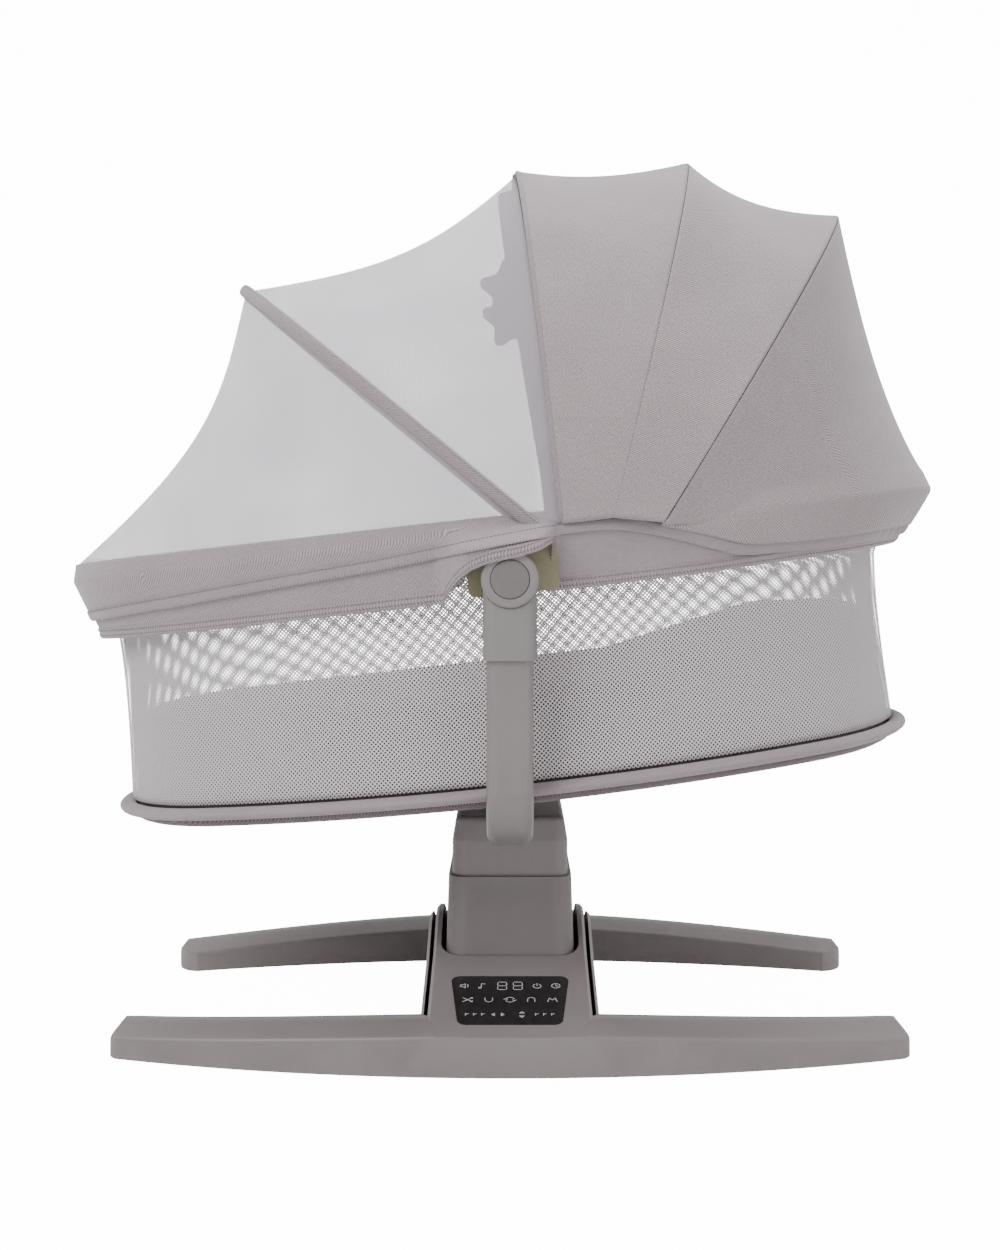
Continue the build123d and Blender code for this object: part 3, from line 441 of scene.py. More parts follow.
mesh_cloth = air_mesh("air mesh", "D9D0D3")
net_cloth = sheer("fly net", "C3BBC3")
plush_light = twill("light plush", "8F817B", "6F625E", pitch=0.0009, depth=0.2, rough=1.0)
plush_dark = twill("ribbed plush", "857570", "5C504E", pitch=0.0022, lean=0.0, depth=0.9, rough=1.0)
COATED = {"Coat_Weight": 1.0, "Coat_Roughness": 0.03}
glass, glass_tree, glass_shader = finish("panel glass", Roughness=0.06, **COATED)
smudge = node(glass_tree, "TexNoise", {"Scale": 30.0, "Detail": 3.0}).outputs[0]
uneven = node(glass_tree, "MapRange", {0: smudge, 3: 0.05, 4: 0.14}).outputs[0]
glass_tree.links.new(uneven, glass_shader.inputs["Roughness"])
glass_shader.inputs["Base Color"].default_value = linear("0A0A0C")
marks, marks_tree, marks_shader = finish("lit marks", Roughness=0.5, Emission_Strength=0.35)
glow = node(marks_tree, "TexNoise", {"Scale": 90.0}).outputs[0]
tint = node(marks_tree, "MapRange", {0: glow, 3: 0.85, 4: 1.0}).outputs[0]
lit = node(marks_tree, "HueSaturation", {"Value": tint, "Color": linear("C9CCD2")}).outputs[0]
marks_tree.links.new(lit, marks_shader.inputs["Base Color"])
marks_tree.links.new(lit, marks_shader.inputs["Emission Color"])
print("finishes", len(bpy.data.materials))

# %% [markdown]
# ## Hard parts
#
# The frame's own parts keep their shape. Each gets the finish of what it is made of.

# %% Hard parts
FINISH_OF = {
    shell: ["base_housing", "head_shell", "base_bottom_plate"],
    legs: ["front_leg_left", "front_leg_right", "rear_leg_left", "rear_leg_right"],
    column: ["column_shell_front", "column_shell_rear"],
    sleeve: ["arm_sleeve_near", "arm_sleeve_far", "hub_rings"],
    arm_paint: ["arm_tube_near", "arm_tube_far", "yoke_saddle"],
    button: ["tilt_button_near", "tilt_button_far"],
    rubber: ["rubber_feet"],
    glass: ["panel_glass"],
    green_board: ["control_board"],
    bracket: ["hub_bracket_near", "hub_bracket_far"],
    steel: ["base_screws", "sway_bearings", "sway_shaft", "guide_rods", "lift_screw"]
    + ["hub_axles", "hinge_pins"],
    bronze: ["lift_nut", "slide_bushes"],
    fibre_board: ["base_board"],
}
named = {name for names in FINISH_OF.values() for name in names}
FINISH_OF[dark_plastic] = [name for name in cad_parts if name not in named]
for made, names in FINISH_OF.items():
    for name in names:
        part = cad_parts[name]
        part.data.materials.clear()
        part.data.materials.append(made)
        part.data.polygons.foreach_set("material_index", np.zeros(len(part.data.polygons), int))
print("dark plastic parts", len(FINISH_OF[dark_plastic]))

# %% [markdown]
# ## Rim band
#
# A band of twill goes round the rim tube. Its lower hem is bound and sewn with two rows.
# Beside each hub the band is cut away in an arch and swells out over the ring, so the
# cloth is carried outwards there. The band is one closed strip: down the outside, round
# the hem and up the inside.

# %% Rim band
RING = even_facings(BAND_SIZES[1], 900)[:-1, None]
ALONG = oval_point(RING, BAND_SIZES[1])[0]


def hub_swell(along, level):
    """How far cloth is pushed out over the hub ring: full beside the hub, none at the rim's top."""
    beside = smooth(along, -0.066, -0.030) * (1 - smooth(along, 0.030, 0.050))
    return 0.0415 * beside * (1 - smooth(level, 0.026, 0.054))


def skirt_point(level, out):
    """Row of points round the rim at a height and a distance outside the band's oval."""
    size = size_at(level, BAND_LEVELS, BAND_SIZES)
    along, across = oval_point(RING, size, out + hub_swell(ALONG, level))
    return cot(np.stack([along, across, level + 0 * along], -1))


def hem_strip(low, top, out, thick, puckers=0.0):
    """Closed strip from top to a bound hem, with the given lowest line."""
    rise = np.array([0.0, 0.0005, 0.0022, 0.0055, 0.0088, 0.0104, 0.0112, 0.0122])
    extra = np.array([0.0, 0.0010, 0.0017, 0.0018, 0.0015, 0.0008, -0.0002, 0.0])
    share = np.linspace(0, 1, 14)[1:]
    level = np.concatenate([low + rise, low + rise[-1] + share * (top - low - rise[-1])], 1)
    outside = np.concatenate([out + extra, np.full(13, out)])[None] * np.ones_like(low)
    head_tip = smooth(ALONG, 0.36, 0.43)
    arc = np.arange(len(RING))[:, None] * 0.0025
    wave = puckers * head_tip * np.sin(arc * 2 * math.pi / PUCKER_PITCH)
    ripple = wave * (1 - smooth(level - low, 0.004, 0.030))
    outer = skirt_point(level, outside + ripple)
    inner = skirt_point(level, outside + ripple - thick)[:, ::-1]
    return np.concatenate([outer, inner], 1)


ARCH_ALONG = [-0.0565, -0.0535, -0.047, -0.038, -0.027, -0.014, 0.0, 0.014, 0.028, 0.0445, 0.0475]
ARCH_LEVEL = [-0.0165, -0.0105, -0.003, 0.005, 0.0115, 0.0155, 0.0172, 0.0185, 0.0215, 0.0275]
ARCH_LEVEL += [-0.0165]
plain = np.interp(ALONG, [-0.45, -0.05, 0.2, 0.44], [-0.021, -0.0165, -0.0155, -0.0105])
in_arch = (ALONG > ARCH_ALONG[0]) & (ALONG < ARCH_ALONG[-1])
band_low = np.where(in_arch, np.interp(ALONG, ARCH_ALONG, ARCH_LEVEL), plain)
band_top = np.full_like(band_low, 0.050)
band_grid = hem_strip(band_low, band_top, 0.0005, 0.0022)
band = hoop("rim_band_cloth", band_grid, twill_rim, "cot")
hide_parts("rim_band")


def hem_stitches(name, low, rise, out):
    """A sewn row that follows a hem at a fixed height above it."""
    level = low + rise
    line = skirt_point(level, out + 0 * level)[:, 0]
    beyond = skirt_point(level, out + 0.01 + 0 * level)[:, 0]
    line, beyond = np.concatenate([line, line[:1]]), np.concatenate([beyond, beyond[:1]])
    return stitches(name, line, beyond - line, thread, "cot")


hem_stitches("band_stitch_lower", band_low, 0.0035, 0.0024)
hem_stitches("band_stitch_upper", band_low, 0.0085, 0.0022)

# %% [markdown]
# ## Cover skirt
#
# The cover that carries net and hood is pulled down over the rim. Its bound hem rises
# from the foot end to the hub, runs under the hood's side panels and drops again towards
# the head, where an elastic gathers it. On the foot side the skirt reaches up to the net.

# %% Cover skirt
skirt_low = np.interp(ALONG, FINE_ALONG, FINE_LEVEL)
skirt_top = 0.0565 + (skirt_low + 0.024 - 0.0565) * smooth(ALONG, 0.040, 0.085)
skirt_grid = hem_strip(skirt_low, skirt_top, 0.0030, 0.0020, puckers=0.0016)
skirt = hoop("cover_skirt", skirt_grid, twill_rim, "cot")
hem_stitches("skirt_stitch", skirt_low, 0.0098, 0.0045)

# %% [markdown]
# ## Mesh wall and bottom
#
# The wall hangs from the rim to a padded brim round the bottom and pulls in a little
# between them. The brim is a tube covered in twill; under it a quilted cover closes the
# bottom.

# %% Mesh wall and bottom
MESH_COLUMNS = 720
WALL_ROWS = 33
WALL_THICK = 0.0007
WALL_FLAT = (0.204, 2.104)
MESH_RING = even_facings(MESH_SIZES[1], MESH_COLUMNS + 1)[:-1, None]
share = np.linspace(0, 1, WALL_ROWS)[None]
wall_level = MESH_LEVELS[2] + share * (MESH_LEVELS[0] - MESH_LEVELS[2]) + 0 * MESH_RING
pull = -0.005 * np.sin(math.pi * share**0.8)


def wall_rows(out):
    """The wall's points, a little inside the straight line from rim to bottom."""
    size = size_at(wall_level, MESH_LEVELS, MESH_SIZES)
    along, across = oval_point(MESH_RING, size, pull + out)
    return cot(np.stack([along, across, wall_level], -1))


wall_grid = np.concatenate([wall_rows(0.0), wall_rows(-WALL_THICK)[:, ::-1]], 1)
columns = np.arange(MESH_COLUMNS)[:, None] * (WALL_FLAT[1] / MESH_COLUMNS) + 0 * wall_level
down = share * WALL_FLAT[0] + 0 * wall_level
both_ways = np.concatenate([columns, columns], 1), np.concatenate([down, down[:, ::-1]], 1)
wall_flat = np.stack(both_ways, -1).reshape(-1, 2)
wall_faces = quads(MESH_COLUMNS, 2 * WALL_ROWS, True, True)
wall = put("mesh_wall_cloth", wall_grid, wall_faces, wall_flat, mesh_cloth, "cot")
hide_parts("mesh_wall")

hoop_facing = even_facings(HOOP, 600)
hoop_along, hoop_across = oval_point(hoop_facing, HOOP, 0.0035)
brim_path = cot(np.stack([hoop_along, hoop_across, -0.193 + 0 * hoop_along], -1))
brim_up = cot(np.stack([hoop_along, hoop_across, -0.183 + 0 * hoop_along], -1)) - brim_path
brim = sweep(
    "bottom_brim", brim_path, brim_up, 0.0085, 0.0058, twill_rim, "cot", sides=20
)
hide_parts("bottom_hoop")

shrink = np.concatenate([np.ones(6), np.linspace(0.97, 0.03, 24)])[None]
side_out = np.concatenate([[0.006, 0.0075, 0.0070, 0.0045, 0.0, -0.006], np.full(24, -0.006)])[None]
side_down = np.concatenate([[-0.1962, -0.1985, -0.202, -0.2050, -0.2070, -0.2080], np.full(24, -0.2086)])
cover_ring = even_facings(BOARD, 481)[:-1, None]
cover_along, cover_across = oval_point(cover_ring, BOARD, side_out)
inwards = BOARD[3] + (cover_along - BOARD[3]) * shrink
cover_lower = np.stack([inwards, cover_across * shrink, side_down[None] + 0 * cover_along], -1)
cover_upper = cover_lower[:, ::-1].copy()
cover_upper[..., 2] = -0.1960
cover_grid = cot(np.concatenate([cover_lower, cover_upper], 1))
cover_flat = np.concatenate([cover_lower[..., :2], cover_upper[..., :2]], 1).reshape(-1, 2)
cover_faces = quads(480, 60, True, True)
cover = put(
    "bottom_cover_cloth", cover_grid, cover_faces, cover_flat, cover_cloth, "cot"
)
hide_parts("bottom_cover")

# %% [markdown]
# ## Hood
#
# Three panels of twill are stretched between four lines: the front bow, the middle bow,
# the rear bow and the rim round the head. Each line is an arch whose sides stand nearly
# upright and whose crown is nearly level. The cloth is drawn straight between two arches
# and hangs in a little. Sewn lines and bound edges follow the bows.


# %% Hood
def arch(bow, foot, lower=0.0, half_width=CLOTH_HALF_WIDTH):
    """Line in a bow's plane: across = width x cos, up the plane = reach x sin, both to one power."""
    turn = np.linspace(0, math.pi, 1201)
    height = np.abs(np.sin(turn)) ** ARCH_POWER
    across = -half_width * np.sign(np.cos(turn)) * np.abs(np.cos(turn)) ** ARCH_POWER
    angle = math.radians(bow[0])
    crown = HINGE + (bow[1] - lower) * np.array([math.cos(angle), math.sin(angle)])
    foot = np.asarray(foot, float)
    along, up = foot[:, None] + (crown - foot)[:, None] * height
    return even_path(np.stack([along, across, up], -1), ARCH_POINTS)


def stretched(first, last, sag, rows=41, power=1.0):
    """Cloth between two lines, hung in towards the hinge by a share of its height over it."""
    share = np.linspace(0, 1, rows)[:, None, None]
    grid = first[None] * (1 - share) + last[None] * share
    from_hinge = np.stack([grid[..., 0] - HINGE[0], grid[..., 2] - HINGE[1]], -1)
    far = np.linalg.norm(from_hinge, axis=-1, keepdims=True)
    depth = sag * 4 * share**power * (1 - share**power) * smooth(far, 0.05, 0.33)
    grid[..., 0:1] -= depth * from_hinge[..., 0:1] / np.maximum(far, 1e-6)
    grid[..., 2:3] -= depth * from_hinge[..., 1:2] / np.maximum(far, 1e-6)
    return grid


def turned(angle, radius):
    """Point beside the hinge line at an angle from the head side, in the row frame."""
    turn = math.radians(angle)
    along, up = HINGE + radius * np.array([math.cos(turn), math.sin(turn)])
    return tuple(cot([along, 0.0, up]))


def between(piece, first_body, last_body, first_angle, last_angle, radius=0.14):
    """Cloth with its place baked into its points."""
    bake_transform(piece)


FEET = {"front": (0.0516, 0.043), "mid": (0.0974, 0.0435), "rear": (0.141, 0.0345)}
front_line = arch(FRONT_BOW, FEET["front"])
mid_line = arch(MID_BOW, FEET["mid"])
rear_line = arch(REAR_BOW, FEET["rear"])
front_grid = stretched(mid_line, front_line, 0.009)
mid_grid = stretched(rear_line, mid_line, 0.016)

rim_size = size_at(0.047, BAND_LEVELS, BAND_SIZES)
facing_fine = np.linspace(-math.pi / 2, 0, 4000)
start = np.interp(-FEET["rear"][0], -oval_point(facing_fine, rim_size)[0][::-1], facing_fine[::-1])
rim_facing = even_facings(rim_size, ARCH_POINTS, start, -start)


def rim_line(level, out):
    """Line round the head end of the rim at the given heights."""
    along, across = oval_point(rim_facing, size_at(level, BAND_LEVELS, BAND_SIZES), out)
    return np.stack([along, across, level + 0 * along], -1)


hem_here = np.interp(oval_point(rim_facing, rim_size)[0], FINE_ALONG, FINE_LEVEL) + 0.0095
run = lengths(rim_line(0.05 + 0 * hem_here, 0.0), 0)
brow = hem_here + (0.056 - hem_here) * smooth(np.minimum(run, run[-1] - run), 0.0, 0.12)
upper_grid = stretched(rim_line(brow, COVER_OUT), rear_line, 0.012, rows=49, power=0.8)
wave_at = lengths(rim_line(brow, 0.0), 0)
lower_rows = []
for share in np.linspace(1, 0, 17)[:-1]:
    level = brow * (1 - share) + hem_here * share
    over_tip = smooth(rim_line(brow, 0.0)[:, 0], 0.37, 0.43)
    pucker = 0.0015 * over_tip * np.sin(wave_at * 2 * math.pi / PUCKER_PITCH) * share**2
    lower_rows.append(rim_line(level, COVER_OUT + 0.0018 * math.sin(math.pi * share) + pucker))
rear_grid = np.concatenate([np.stack(lower_rows), upper_grid])

RIM_ANGLE = 1.0
for name, grid, bodies, first, last, flat, area, bow in [
    ("rear", rear_grid, ("cot", "hood_rear"), RIM_ANGLE, REAR_BOW[0], (0.34, 0.95), 0.235, "rear"),
    ("mid", mid_grid, ("hood_rear", "hood_mid"), REAR_BOW[0], MID_BOW[0], (0.17, 0.95), 0.125, "rear"),
    ("front", front_grid, ("hood_mid", "hood_front"), MID_BOW[0], FRONT_BOW[0], (0.18, 0.93), 0.125, "front"),
]:
    piece = cloth(f"hood_cloth_{name}", cot(grid), HOOD_THICK, twill_hood, None)
    between(piece, *bodies, first, last)
    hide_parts(f"hood_panel_{name}")


def on_cloth(grid, share, lift=0.0006):
    """Line on a grid at a share of its rows, and the way out of the cloth along that line."""
    rows, cols = grid.shape[:2]
    world = cot(grid)
    normal = np.cross(np.gradient(world, axis=1), np.gradient(world, axis=0))
    normal /= np.maximum(np.linalg.norm(normal, axis=-1, keepdims=True), 1e-9)
    from_hinge = world[rows // 2, cols // 2] - cot([HINGE[0], 0, HINGE[1]])
    outward = np.sign((normal[rows // 2, cols // 2] * from_hinge).sum())
    at = np.broadcast_to(np.asarray(share, float) * (rows - 1), (cols,))
    low = np.clip(at.astype(int), 0, rows - 2)
    part = (at - low)[:, None]
    here = np.arange(cols)
    line = world[low, here] * (1 - part) + world[low + 1, here] * part
    normal = outward * normal[low, here]
    return line + lift * normal, normal


def from_edge(grid, distance):
    """Share of the rows that lies a fixed distance from the last row."""
    wide = lengths(grid, 0)[-1]
    return 1 - np.minimum(distance / np.maximum(wide, 1e-6), 0.9)


for name, grid, body in [("rear", mid_grid, "hood_rear"), ("mid", front_grid, "hood_mid")]:
    line, out = on_cloth(grid, 0.0)
    # A dark strip of painted shadow lies along each joined seam.
    sweep(f"hood_seam_shadow_{name}", line, out, 0.0012, 0.0007, painted_seam_shadow, body, sides=8)
    line, out = on_cloth(grid, 1 - from_edge(grid, 0.0035))
    stitches(f"hood_stitch_{name}", line, out, thread, body)
line, out = on_cloth(front_grid, 1.0, 0.0)
sweep("hood_front_binding", line, out, 0.0026, 0.0024, twill_fine, "hood_front")
for k, distance in enumerate([0.0115, 0.0150]):
    line, out = on_cloth(front_grid, from_edge(front_grid, distance))
    stitches(f"hood_front_stitch_{k}", line, out, thread, "hood_front")
half_way = np.abs(np.linspace(-1, 1, ARCH_POINTS))
dart_share = 1 - np.interp(half_way, [0, 0.55, 0.9, 1], [0.17, 0.28, 0.70, 0.80])
line, out = on_cloth(front_grid, dart_share)
for side, part in [("near", slice(13, 80)), ("far", slice(81, 148))]:
    path, way = line[part], out[part]
    # Dark strips of painted shadow lie along the darts.
    sweep(f"hood_dart_shadow_{side}", path, way, 0.0010, 0.0006, painted_seam_shadow, "hood_front", sides=8)

# %% [markdown]
# ## Fly net
#
# The net is drawn from the hood's front bow to its own bow and on to the foot of the
# rim. It is soft, so it hangs in well between them. A twill sleeve covers its bow.

# %% Fly net
net_line = arch(NET_BOW, (0.034, 0.046), lower=0.002)
net_start = arch((FRONT_BOW[0] + 0.6, FRONT_BOW[1] - 0.004), FEET["front"], half_width=0.2505)
net_grid = stretched(net_start, net_line, 0.027, rows=49)
net_top = cloth("net_cloth_top", cot(net_grid), NET_THICK, net_cloth, None)
between(net_top, "hood_front", "net", FRONT_BOW[0], NET_BOW[0])
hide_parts("net_panel_top")

FOOT_LEVEL = 0.0555
foot_size = size_at(FOOT_LEVEL, BAND_LEVELS, BAND_SIZES)
foot_fine = np.linspace(-math.pi, -math.pi / 2, 4000)
start = np.interp(0.020, oval_point(foot_fine, foot_size)[0], foot_fine)
foot_facing = even_facings(foot_size, ARCH_POINTS, start, -2 * math.pi - start)
foot_along, foot_across = oval_point(foot_facing, foot_size, NET_THICK)
foot_line = np.stack([foot_along, foot_across, FOOT_LEVEL + 0 * foot_along], -1)
foot_grid = stretched(net_line, foot_line, 0.036, rows=65, power=1.1)
net_foot = cloth("net_cloth_foot", cot(foot_grid), NET_THICK, net_cloth, "net")
bow_turn = math.radians(NET_BOW[0]) + LEAN
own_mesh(net_foot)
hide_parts("net_panel_foot")

SLEEVE_FOOT = (0.034, 0.036)
sleeve_line = cot(arch(NET_BOW, SLEEVE_FOOT, lower=-0.001, half_width=0.2560))
sleeve_out = sleeve_line - cot(arch(NET_BOW, SLEEVE_FOOT, lower=0.02, half_width=0.236))
sleeve_piece = sweep(
    "net_bow_sleeve", sleeve_line, sleeve_out, 0.0062, 0.0040, twill_fine, "net", sides=16
)
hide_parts("net_bow")
side_line = sleeve_line + 0.0030 * sleeve_out / np.linalg.norm(sleeve_out, axis=1, keepdims=True)
along_bow = np.array([math.cos(bow_turn + math.pi / 2), 0, math.sin(bow_turn + math.pi / 2)])
stitches("net_bow_stitch", side_line - 0.0036 * along_bow, sleeve_out, thread, "net")

# %% [markdown]
# ## Mattress and toys
#
# The mattress is blown up a little as cloth, from the shape of its core, so its edges
# round and its faces swell. The two stars are stuffed the same way. A woven strap
# carries them inside the front of the hood.


# %% Mattress and toys
def swollen(name, source, voxel, pressure, cap, start=0.0):
    """The shape as a stuffed skin: remeshed, blown up as cloth, and kept near where it began."""
    mesh = source.data.copy()
    piece = bpy.data.objects.new(name, mesh)
    bpy.context.scene.collection.objects.link(piece)
    bpy.context.view_layer.objects.active = piece
    remesh = piece.modifiers.new("skin", "REMESH")
    remesh.mode = "VOXEL"
    remesh.voxel_size = voxel
    soften = piece.modifiers.new("soften", "SMOOTH")
    soften.iterations = 4
    made = bpy.data.meshes.new_from_object(piece.evaluated_get(bpy.context.evaluated_depsgraph_get()))
    piece.modifiers.clear()
    piece.data = made
    rest = np.empty(3 * len(made.vertices))
    made.vertices.foreach_get("co", rest)
    rest = rest.reshape(-1, 3)
    if start:
        normal = np.empty(3 * len(made.vertices))
        made.vertices.foreach_get("normal", normal)
        rest = rest - start * normal.reshape(-1, 3)
        made.vertices.foreach_set("co", rest.ravel())
        made.update()
    moved = rest
    blown = piece.modifiers.new("blown", "CLOTH")
    blown.settings.use_pressure = True
    blown.settings.uniform_pressure_force = pressure
    blown.settings.effector_weights.gravity = 0.0
    scene = bpy.context.scene
    for step in range(1, 21):
        scene.frame_set(step)
    ready = piece.evaluated_get(bpy.context.evaluated_depsgraph_get())
    moved = np.empty(3 * len(ready.data.vertices))
    ready.data.vertices.foreach_get("co", moved)
    moved = moved.reshape(-1, 3)
    piece.modifiers.clear()
    scene.frame_set(1)
    shift = moved - rest
    far = np.linalg.norm(shift, axis=1, keepdims=True)
    moved = rest + shift * np.minimum(1, cap / np.maximum(far, 1e-9))
    made.vertices.foreach_set("co", moved.ravel())
    flat = made.uv_layers.new(name="Flat")
    corner = np.empty(len(made.loops), int)
    made.loops.foreach_get("vertex_index", corner)
    pattern = np.stack([moved[:, 0] + 0.7 * moved[:, 1], moved[:, 2] + 0.7 * moved[:, 1]], -1)
    flat.data.foreach_set("uv", pattern[corner].ravel())
    made.polygons.foreach_set("use_smooth", np.ones(len(made.polygons), bool))
    made.update()
    print(f"{name}: {len(rest)} points, moved at most {far.max() * 1000:.1f} mm")
    return piece


pad = swollen("mattress_pad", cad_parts["mattress"], 0.006, 4.0, 0.006, start=0.002)
pad.data.materials.clear()
pad.data.materials.append(twill_dark)
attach(pad, "cot")
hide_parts("mattress")
for shade, material in [("light", plush_light), ("dark", plush_dark)]:
    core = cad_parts[f"toy_star_{shade}"]
    plush = swollen(f"plush_star_{shade}", core, 0.003, 6.0, 0.008, start=0.001)
    plush.data.materials.clear()
    plush.data.materials.append(material)
    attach(plush, "toy")
    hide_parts(f"toy_star_{shade}")
STRAP_FOOT = (0.066, 0.062)
strap_line = cot(arch(TOY_BOW, STRAP_FOOT, half_width=0.2180))
strap_out = strap_line - cot(arch(TOY_BOW, STRAP_FOOT, lower=0.03, half_width=0.188))
strap = sweep(
    "toy_strap", strap_line, strap_out, 0.0150, 0.0025, strap_cloth, "toy", sides=20
)
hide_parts("toy_bar")

# %% [markdown]
# ## Marks on the panel
#
# The marks shine on the dark glass. Each is a set of strokes, and each stroke is a flat
# block a hair thick that lies on the glass.

# %% Marks on the panel
SLOPE_RUN, SLOPE_RISE, HALF_PANEL = 0.1405, 0.0355, 0.0635
SLOPE = np.array([SLOPE_RUN, SLOPE_RISE]) / math.hypot(SLOPE_RUN, SLOPE_RISE)
PANEL = np.array([0.008, -0.2285 + HALF_PANEL * SLOPE[0], 0.039 + HALF_PANEL * SLOPE[1]])
PANEL_UP = np.array([0.0, SLOPE[0], SLOPE[1]])
PANEL_OUT = np.array([0.0, -SLOPE[1], SLOPE[0]])


def arc(x, y, radius, start, stop, count=14):
    """Part of a circle as a line of points."""
    turn = np.radians(np.linspace(start, stop, count))
    return np.stack([x + radius * np.cos(turn), y + radius * np.sin(turn)], -1)


def line_of(*points):
    """A line through a few points."""
    return np.array(points, float)


def digit(x, y, wide=0.0085, high=0.0135):
    """All seven strokes of a display digit."""
    a, b, g = wide / 2, high / 2, 0.0009
    rows = [line_of((x - a + g, y + k), (x + a - g, y + k)) for k in (-b, 0, b)]
    spots = [(x + i, y + j) for i in (-a, a) for j in (0, -b)]
    posts = [line_of((px, py + g), (px, py + b - g)) for px, py in spots]
    return rows + posts


strokes = digit(-0.0075, 0.0247) + digit(0.0075, 0.0247)
strokes += [
    line_of((-0.0475, 0.0232), (-0.0475, 0.0262), (-0.0455, 0.0262), (-0.0430, 0.0285), (-0.0430, 0.0209)),
    line_of((-0.0430, 0.0209), (-0.0455, 0.0232), (-0.0475, 0.0232)),
    arc(-0.0430, 0.0247, 0.0030, -50, 50, 7),
    line_of((-0.0275, 0.0212), (-0.0275, 0.0285), (-0.0240, 0.0278)),
    arc(-0.0288, 0.0212, 0.0013, 0, 360, 9),
    arc(0.026, 0.0243, 0.0038, 120, 420),
    line_of((0.026, 0.0250), (0.026, 0.0292)),
    arc(0.044, 0.0247, 0.0040, 0, 360, 19),
    line_of((0.044, 0.0272), (0.044, 0.0247), (0.0460, 0.0240)),
    line_of((-0.0445, -0.0035), (-0.0355, 0.0035)),
    line_of((-0.0445, 0.0035), (-0.0355, -0.0035)),
    line_of((-0.0372, 0.0035), (-0.0355, 0.0035), (-0.0355, 0.0018)),
    line_of((-0.0372, -0.0035), (-0.0355, -0.0035), (-0.0355, -0.0018)),
    np.concatenate(
        [line_of((-0.0240, 0.0035)), arc(-0.020, -0.0005, 0.0034, 180, 360), line_of((-0.0166, 0.0035))]
    ),
    arc(0.0, 0.0, 0.0042, 20, 160, 9),
    arc(0.0, 0.0, 0.0042, 200, 340, 9),
    line_of((-0.0060, 0.0005), (-0.0040, 0.0018), (-0.0024, 0.0000)),
    line_of((0.0060, -0.0005), (0.0040, -0.0018), (0.0024, 0.0000)),
    np.concatenate(
        [line_of((0.0166, -0.0035)), arc(0.020, 0.0005, 0.0034, 180, 0), line_of((0.0234, -0.0035))]
    ),
    line_of((0.0355, -0.0035), (0.0372, 0.0030), (0.0400, -0.0005), (0.0428, 0.0030), (0.0445, -0.0035)),
]
for x in (-0.0400, -0.0325, -0.0250, 0.0250, 0.0325, 0.0400):
    strokes.append(line_of((x - 0.0014, -0.0270), (x - 0.0014, -0.0235)))
    strokes.append(line_of((x - 0.0014, -0.0252), (x + 0.0014, -0.0240)))
ARROWS = [(-0.0145, -0.0255, -1, 0), (-0.0080, -0.0255, 1, 0), (0.011, -0.0232, 0, 1)]
for x, y, dx, dy in ARROWS + [(0.011, -0.0278, 0, -1)]:
    tip = (x + 0.0026 * dx, y + 0.0026 * dy)
    wings = [(x + k * 0.0022 * dy, y + k * 0.0022 * dx) for k in (-1, 1)]
    strokes.append(line_of(tip, *wings, tip))


def inked(name, lines, half_width, thick, lift):
    """Strokes as thin blocks on the glass, one block to each piece of line."""
    first = np.concatenate([line[:-1] for line in lines])
    last = np.concatenate([line[1:] for line in lines])
    ahead = last - first
    ahead /= np.maximum(np.linalg.norm(ahead, axis=1, keepdims=True), 1e-9)
    side = half_width * np.stack([-ahead[:, 1], ahead[:, 0]], -1)
    reach = 0.6 * half_width * ahead
    corners = [first - reach - side, last + reach - side, last + reach + side, first - reach + side]
    layers = []
    for height in (lift, lift + thick):
        for c in corners:
            layers.append(PANEL + c[:, :1] * [1, 0, 0] + c[:, 1:] * PANEL_UP + height * PANEL_OUT)
    points = np.stack(layers, 1).reshape(-1, 3)
    block = [[3, 2, 1, 0], [4, 5, 6, 7], [0, 1, 5, 4], [1, 2, 6, 5], [2, 3, 7, 6], [3, 0, 4, 7]]
    faces = (np.array(block)[None] + 8 * np.arange(len(first))[:, None, None]).reshape(-1, 4)
    return put(name, points, faces, np.zeros((len(points), 2)), marks, "base")


inked("panel_marks", strokes, 0.00034, 0.00006, 0.00036)

# %% [markdown]
# ## Studio
#
# A white sweep stands in for floor and wall. Large soft lights stand in front, above and
# to both sides. The sweep glows only where the camera sees it, so it stays white without
# lighting the swing. The camera looks level at the swing from its long side.

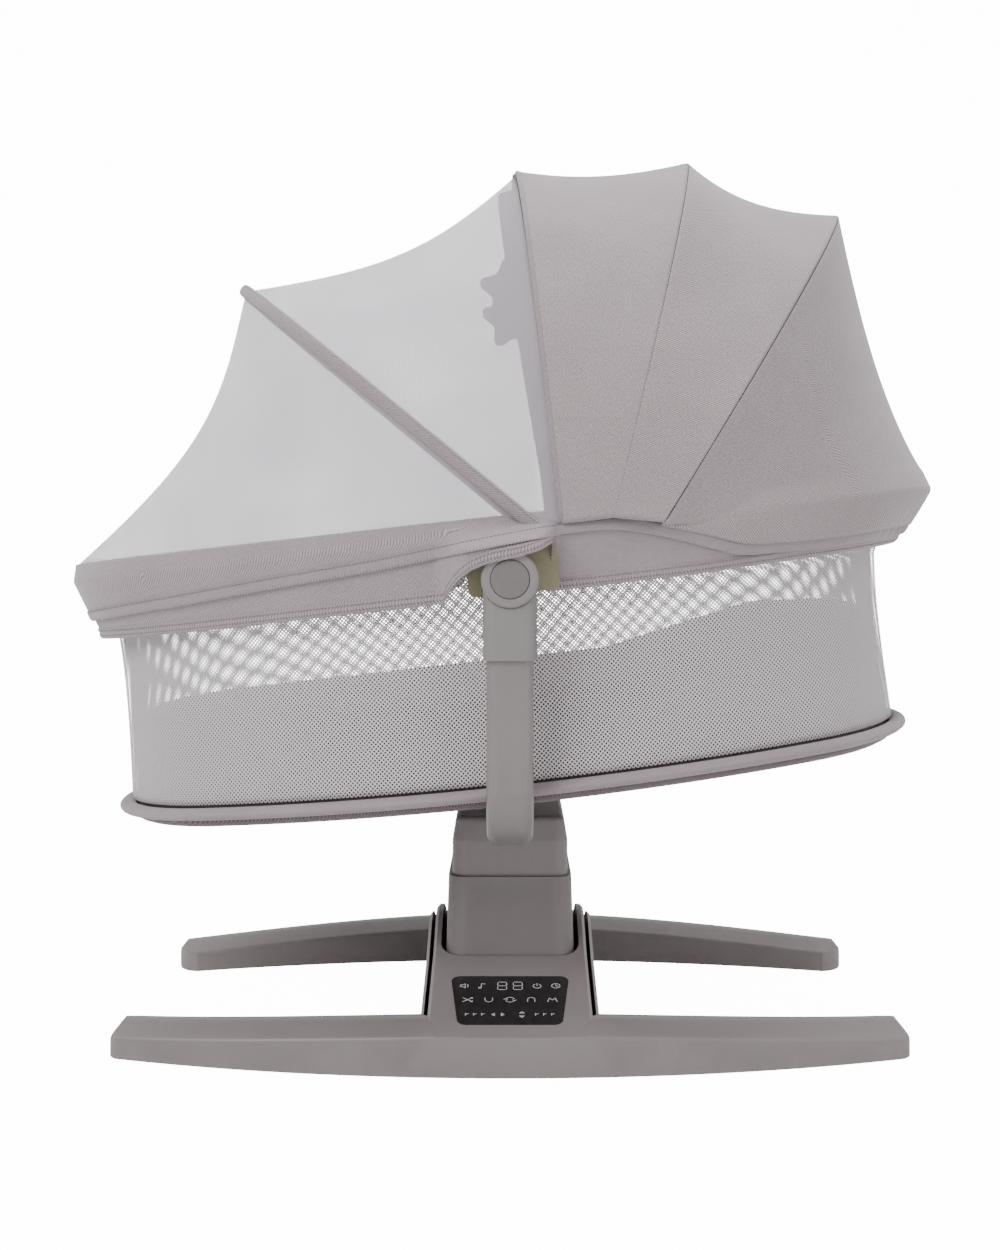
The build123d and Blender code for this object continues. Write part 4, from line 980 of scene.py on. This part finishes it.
# %% Studio
back = np.array([[-4.0, 0.0], [2.4, 0.0]])
angle = np.linspace(0.1, math.pi / 2, 10)
bend = np.stack([2.4 + 1.2 * np.sin(angle), 1.2 - 1.2 * np.cos(angle)], -1)
profile = np.concatenate([back, bend, [[3.6, 6.0]]])
wide = np.array([-6.0, 6.0])
sweep_points = np.array([[x, y, z] for y, z in profile for x in wide])
mesh = bpy.data.meshes.new("studio_sweep")
mesh.from_pydata(sweep_points.tolist(), [], quads(len(profile), 2)[:, ::-1].tolist())
mesh.polygons.foreach_set("use_smooth", np.ones(len(mesh.polygons), bool))
paper, paper_tree, paper_shader = finish("paper", Roughness=0.95)
paper_shader.inputs["Base Color"].default_value = (0.8, 0.8, 0.8, 1)
paper_shader.inputs["Emission Color"].default_value = (1, 1, 1, 1)
PAPER_GLOW = 14.0
seen = node(paper_tree, "LightPath").outputs["Is Camera Ray"]
glowing = maths(paper_tree, "MULTIPLY", seen, PAPER_GLOW)
paper_tree.links.new(glowing, paper_shader.inputs["Emission Strength"])
mesh.materials.append(paper)
floor = bpy.data.objects.new("studio_sweep", mesh)
bpy.context.scene.collection.objects.link(floor)

for name, place, aim, size, power in [
    ("key", (-1.8, -2.4, 2.6), (0, 0, 0.4), 1.6, 88),
    ("fill", (2.6, -2.0, 1.2), (0, 0, 0.4), 2.0, 22),
    ("top", (0.2, 0.2, 3.0), (0, 0, 0.4), 2.0, 60),
    ("back_left", (-2.6, 1.6, 1.6), (0, 0, 0.5), 1.6, 24),
    ("back_right", (2.6, 1.6, 1.6), (0, 0, 0.5), 1.6, 24),
]:
    lamp = bpy.data.lights.new(name, "AREA")
    lamp.energy, lamp.size = power, size
    holder = bpy.data.objects.new(name, lamp)
    holder.location = place
    direction = np.array(aim) - np.array(place)
    tilt = math.atan2(math.hypot(direction[0], direction[1]), -direction[2])
    heading = math.atan2(direction[1], direction[0]) - math.pi / 2
    holder.rotation_euler = (tilt, 0, heading)
    bpy.context.scene.collection.objects.link(holder)
world = bpy.data.worlds.new("studio")
world.use_nodes = True
world.node_tree.nodes["Background"].inputs[0].default_value = (1, 1, 1, 1)
world.node_tree.nodes["Background"].inputs[1].default_value = 0.50
bpy.context.scene.world = world

camera = bpy.data.cameras.new("camera")
camera.sensor_width = 36
camera.sensor_fit = "VERTICAL"
camera.sensor_height = 36
camera.lens = 1.2136 * camera.sensor_height
camera.shift_x, camera.shift_y = -0.008, -0.068
holder = bpy.data.objects.new("camera", camera)
holder.location = (0.008, -1.6, 0.4891)
holder.rotation_euler = (math.pi / 2, 0, 0)
bpy.context.scene.collection.objects.link(holder)
bpy.context.scene.camera = holder
bpy.context.scene.render.resolution_x = 1000
bpy.context.scene.render.resolution_y = 1250
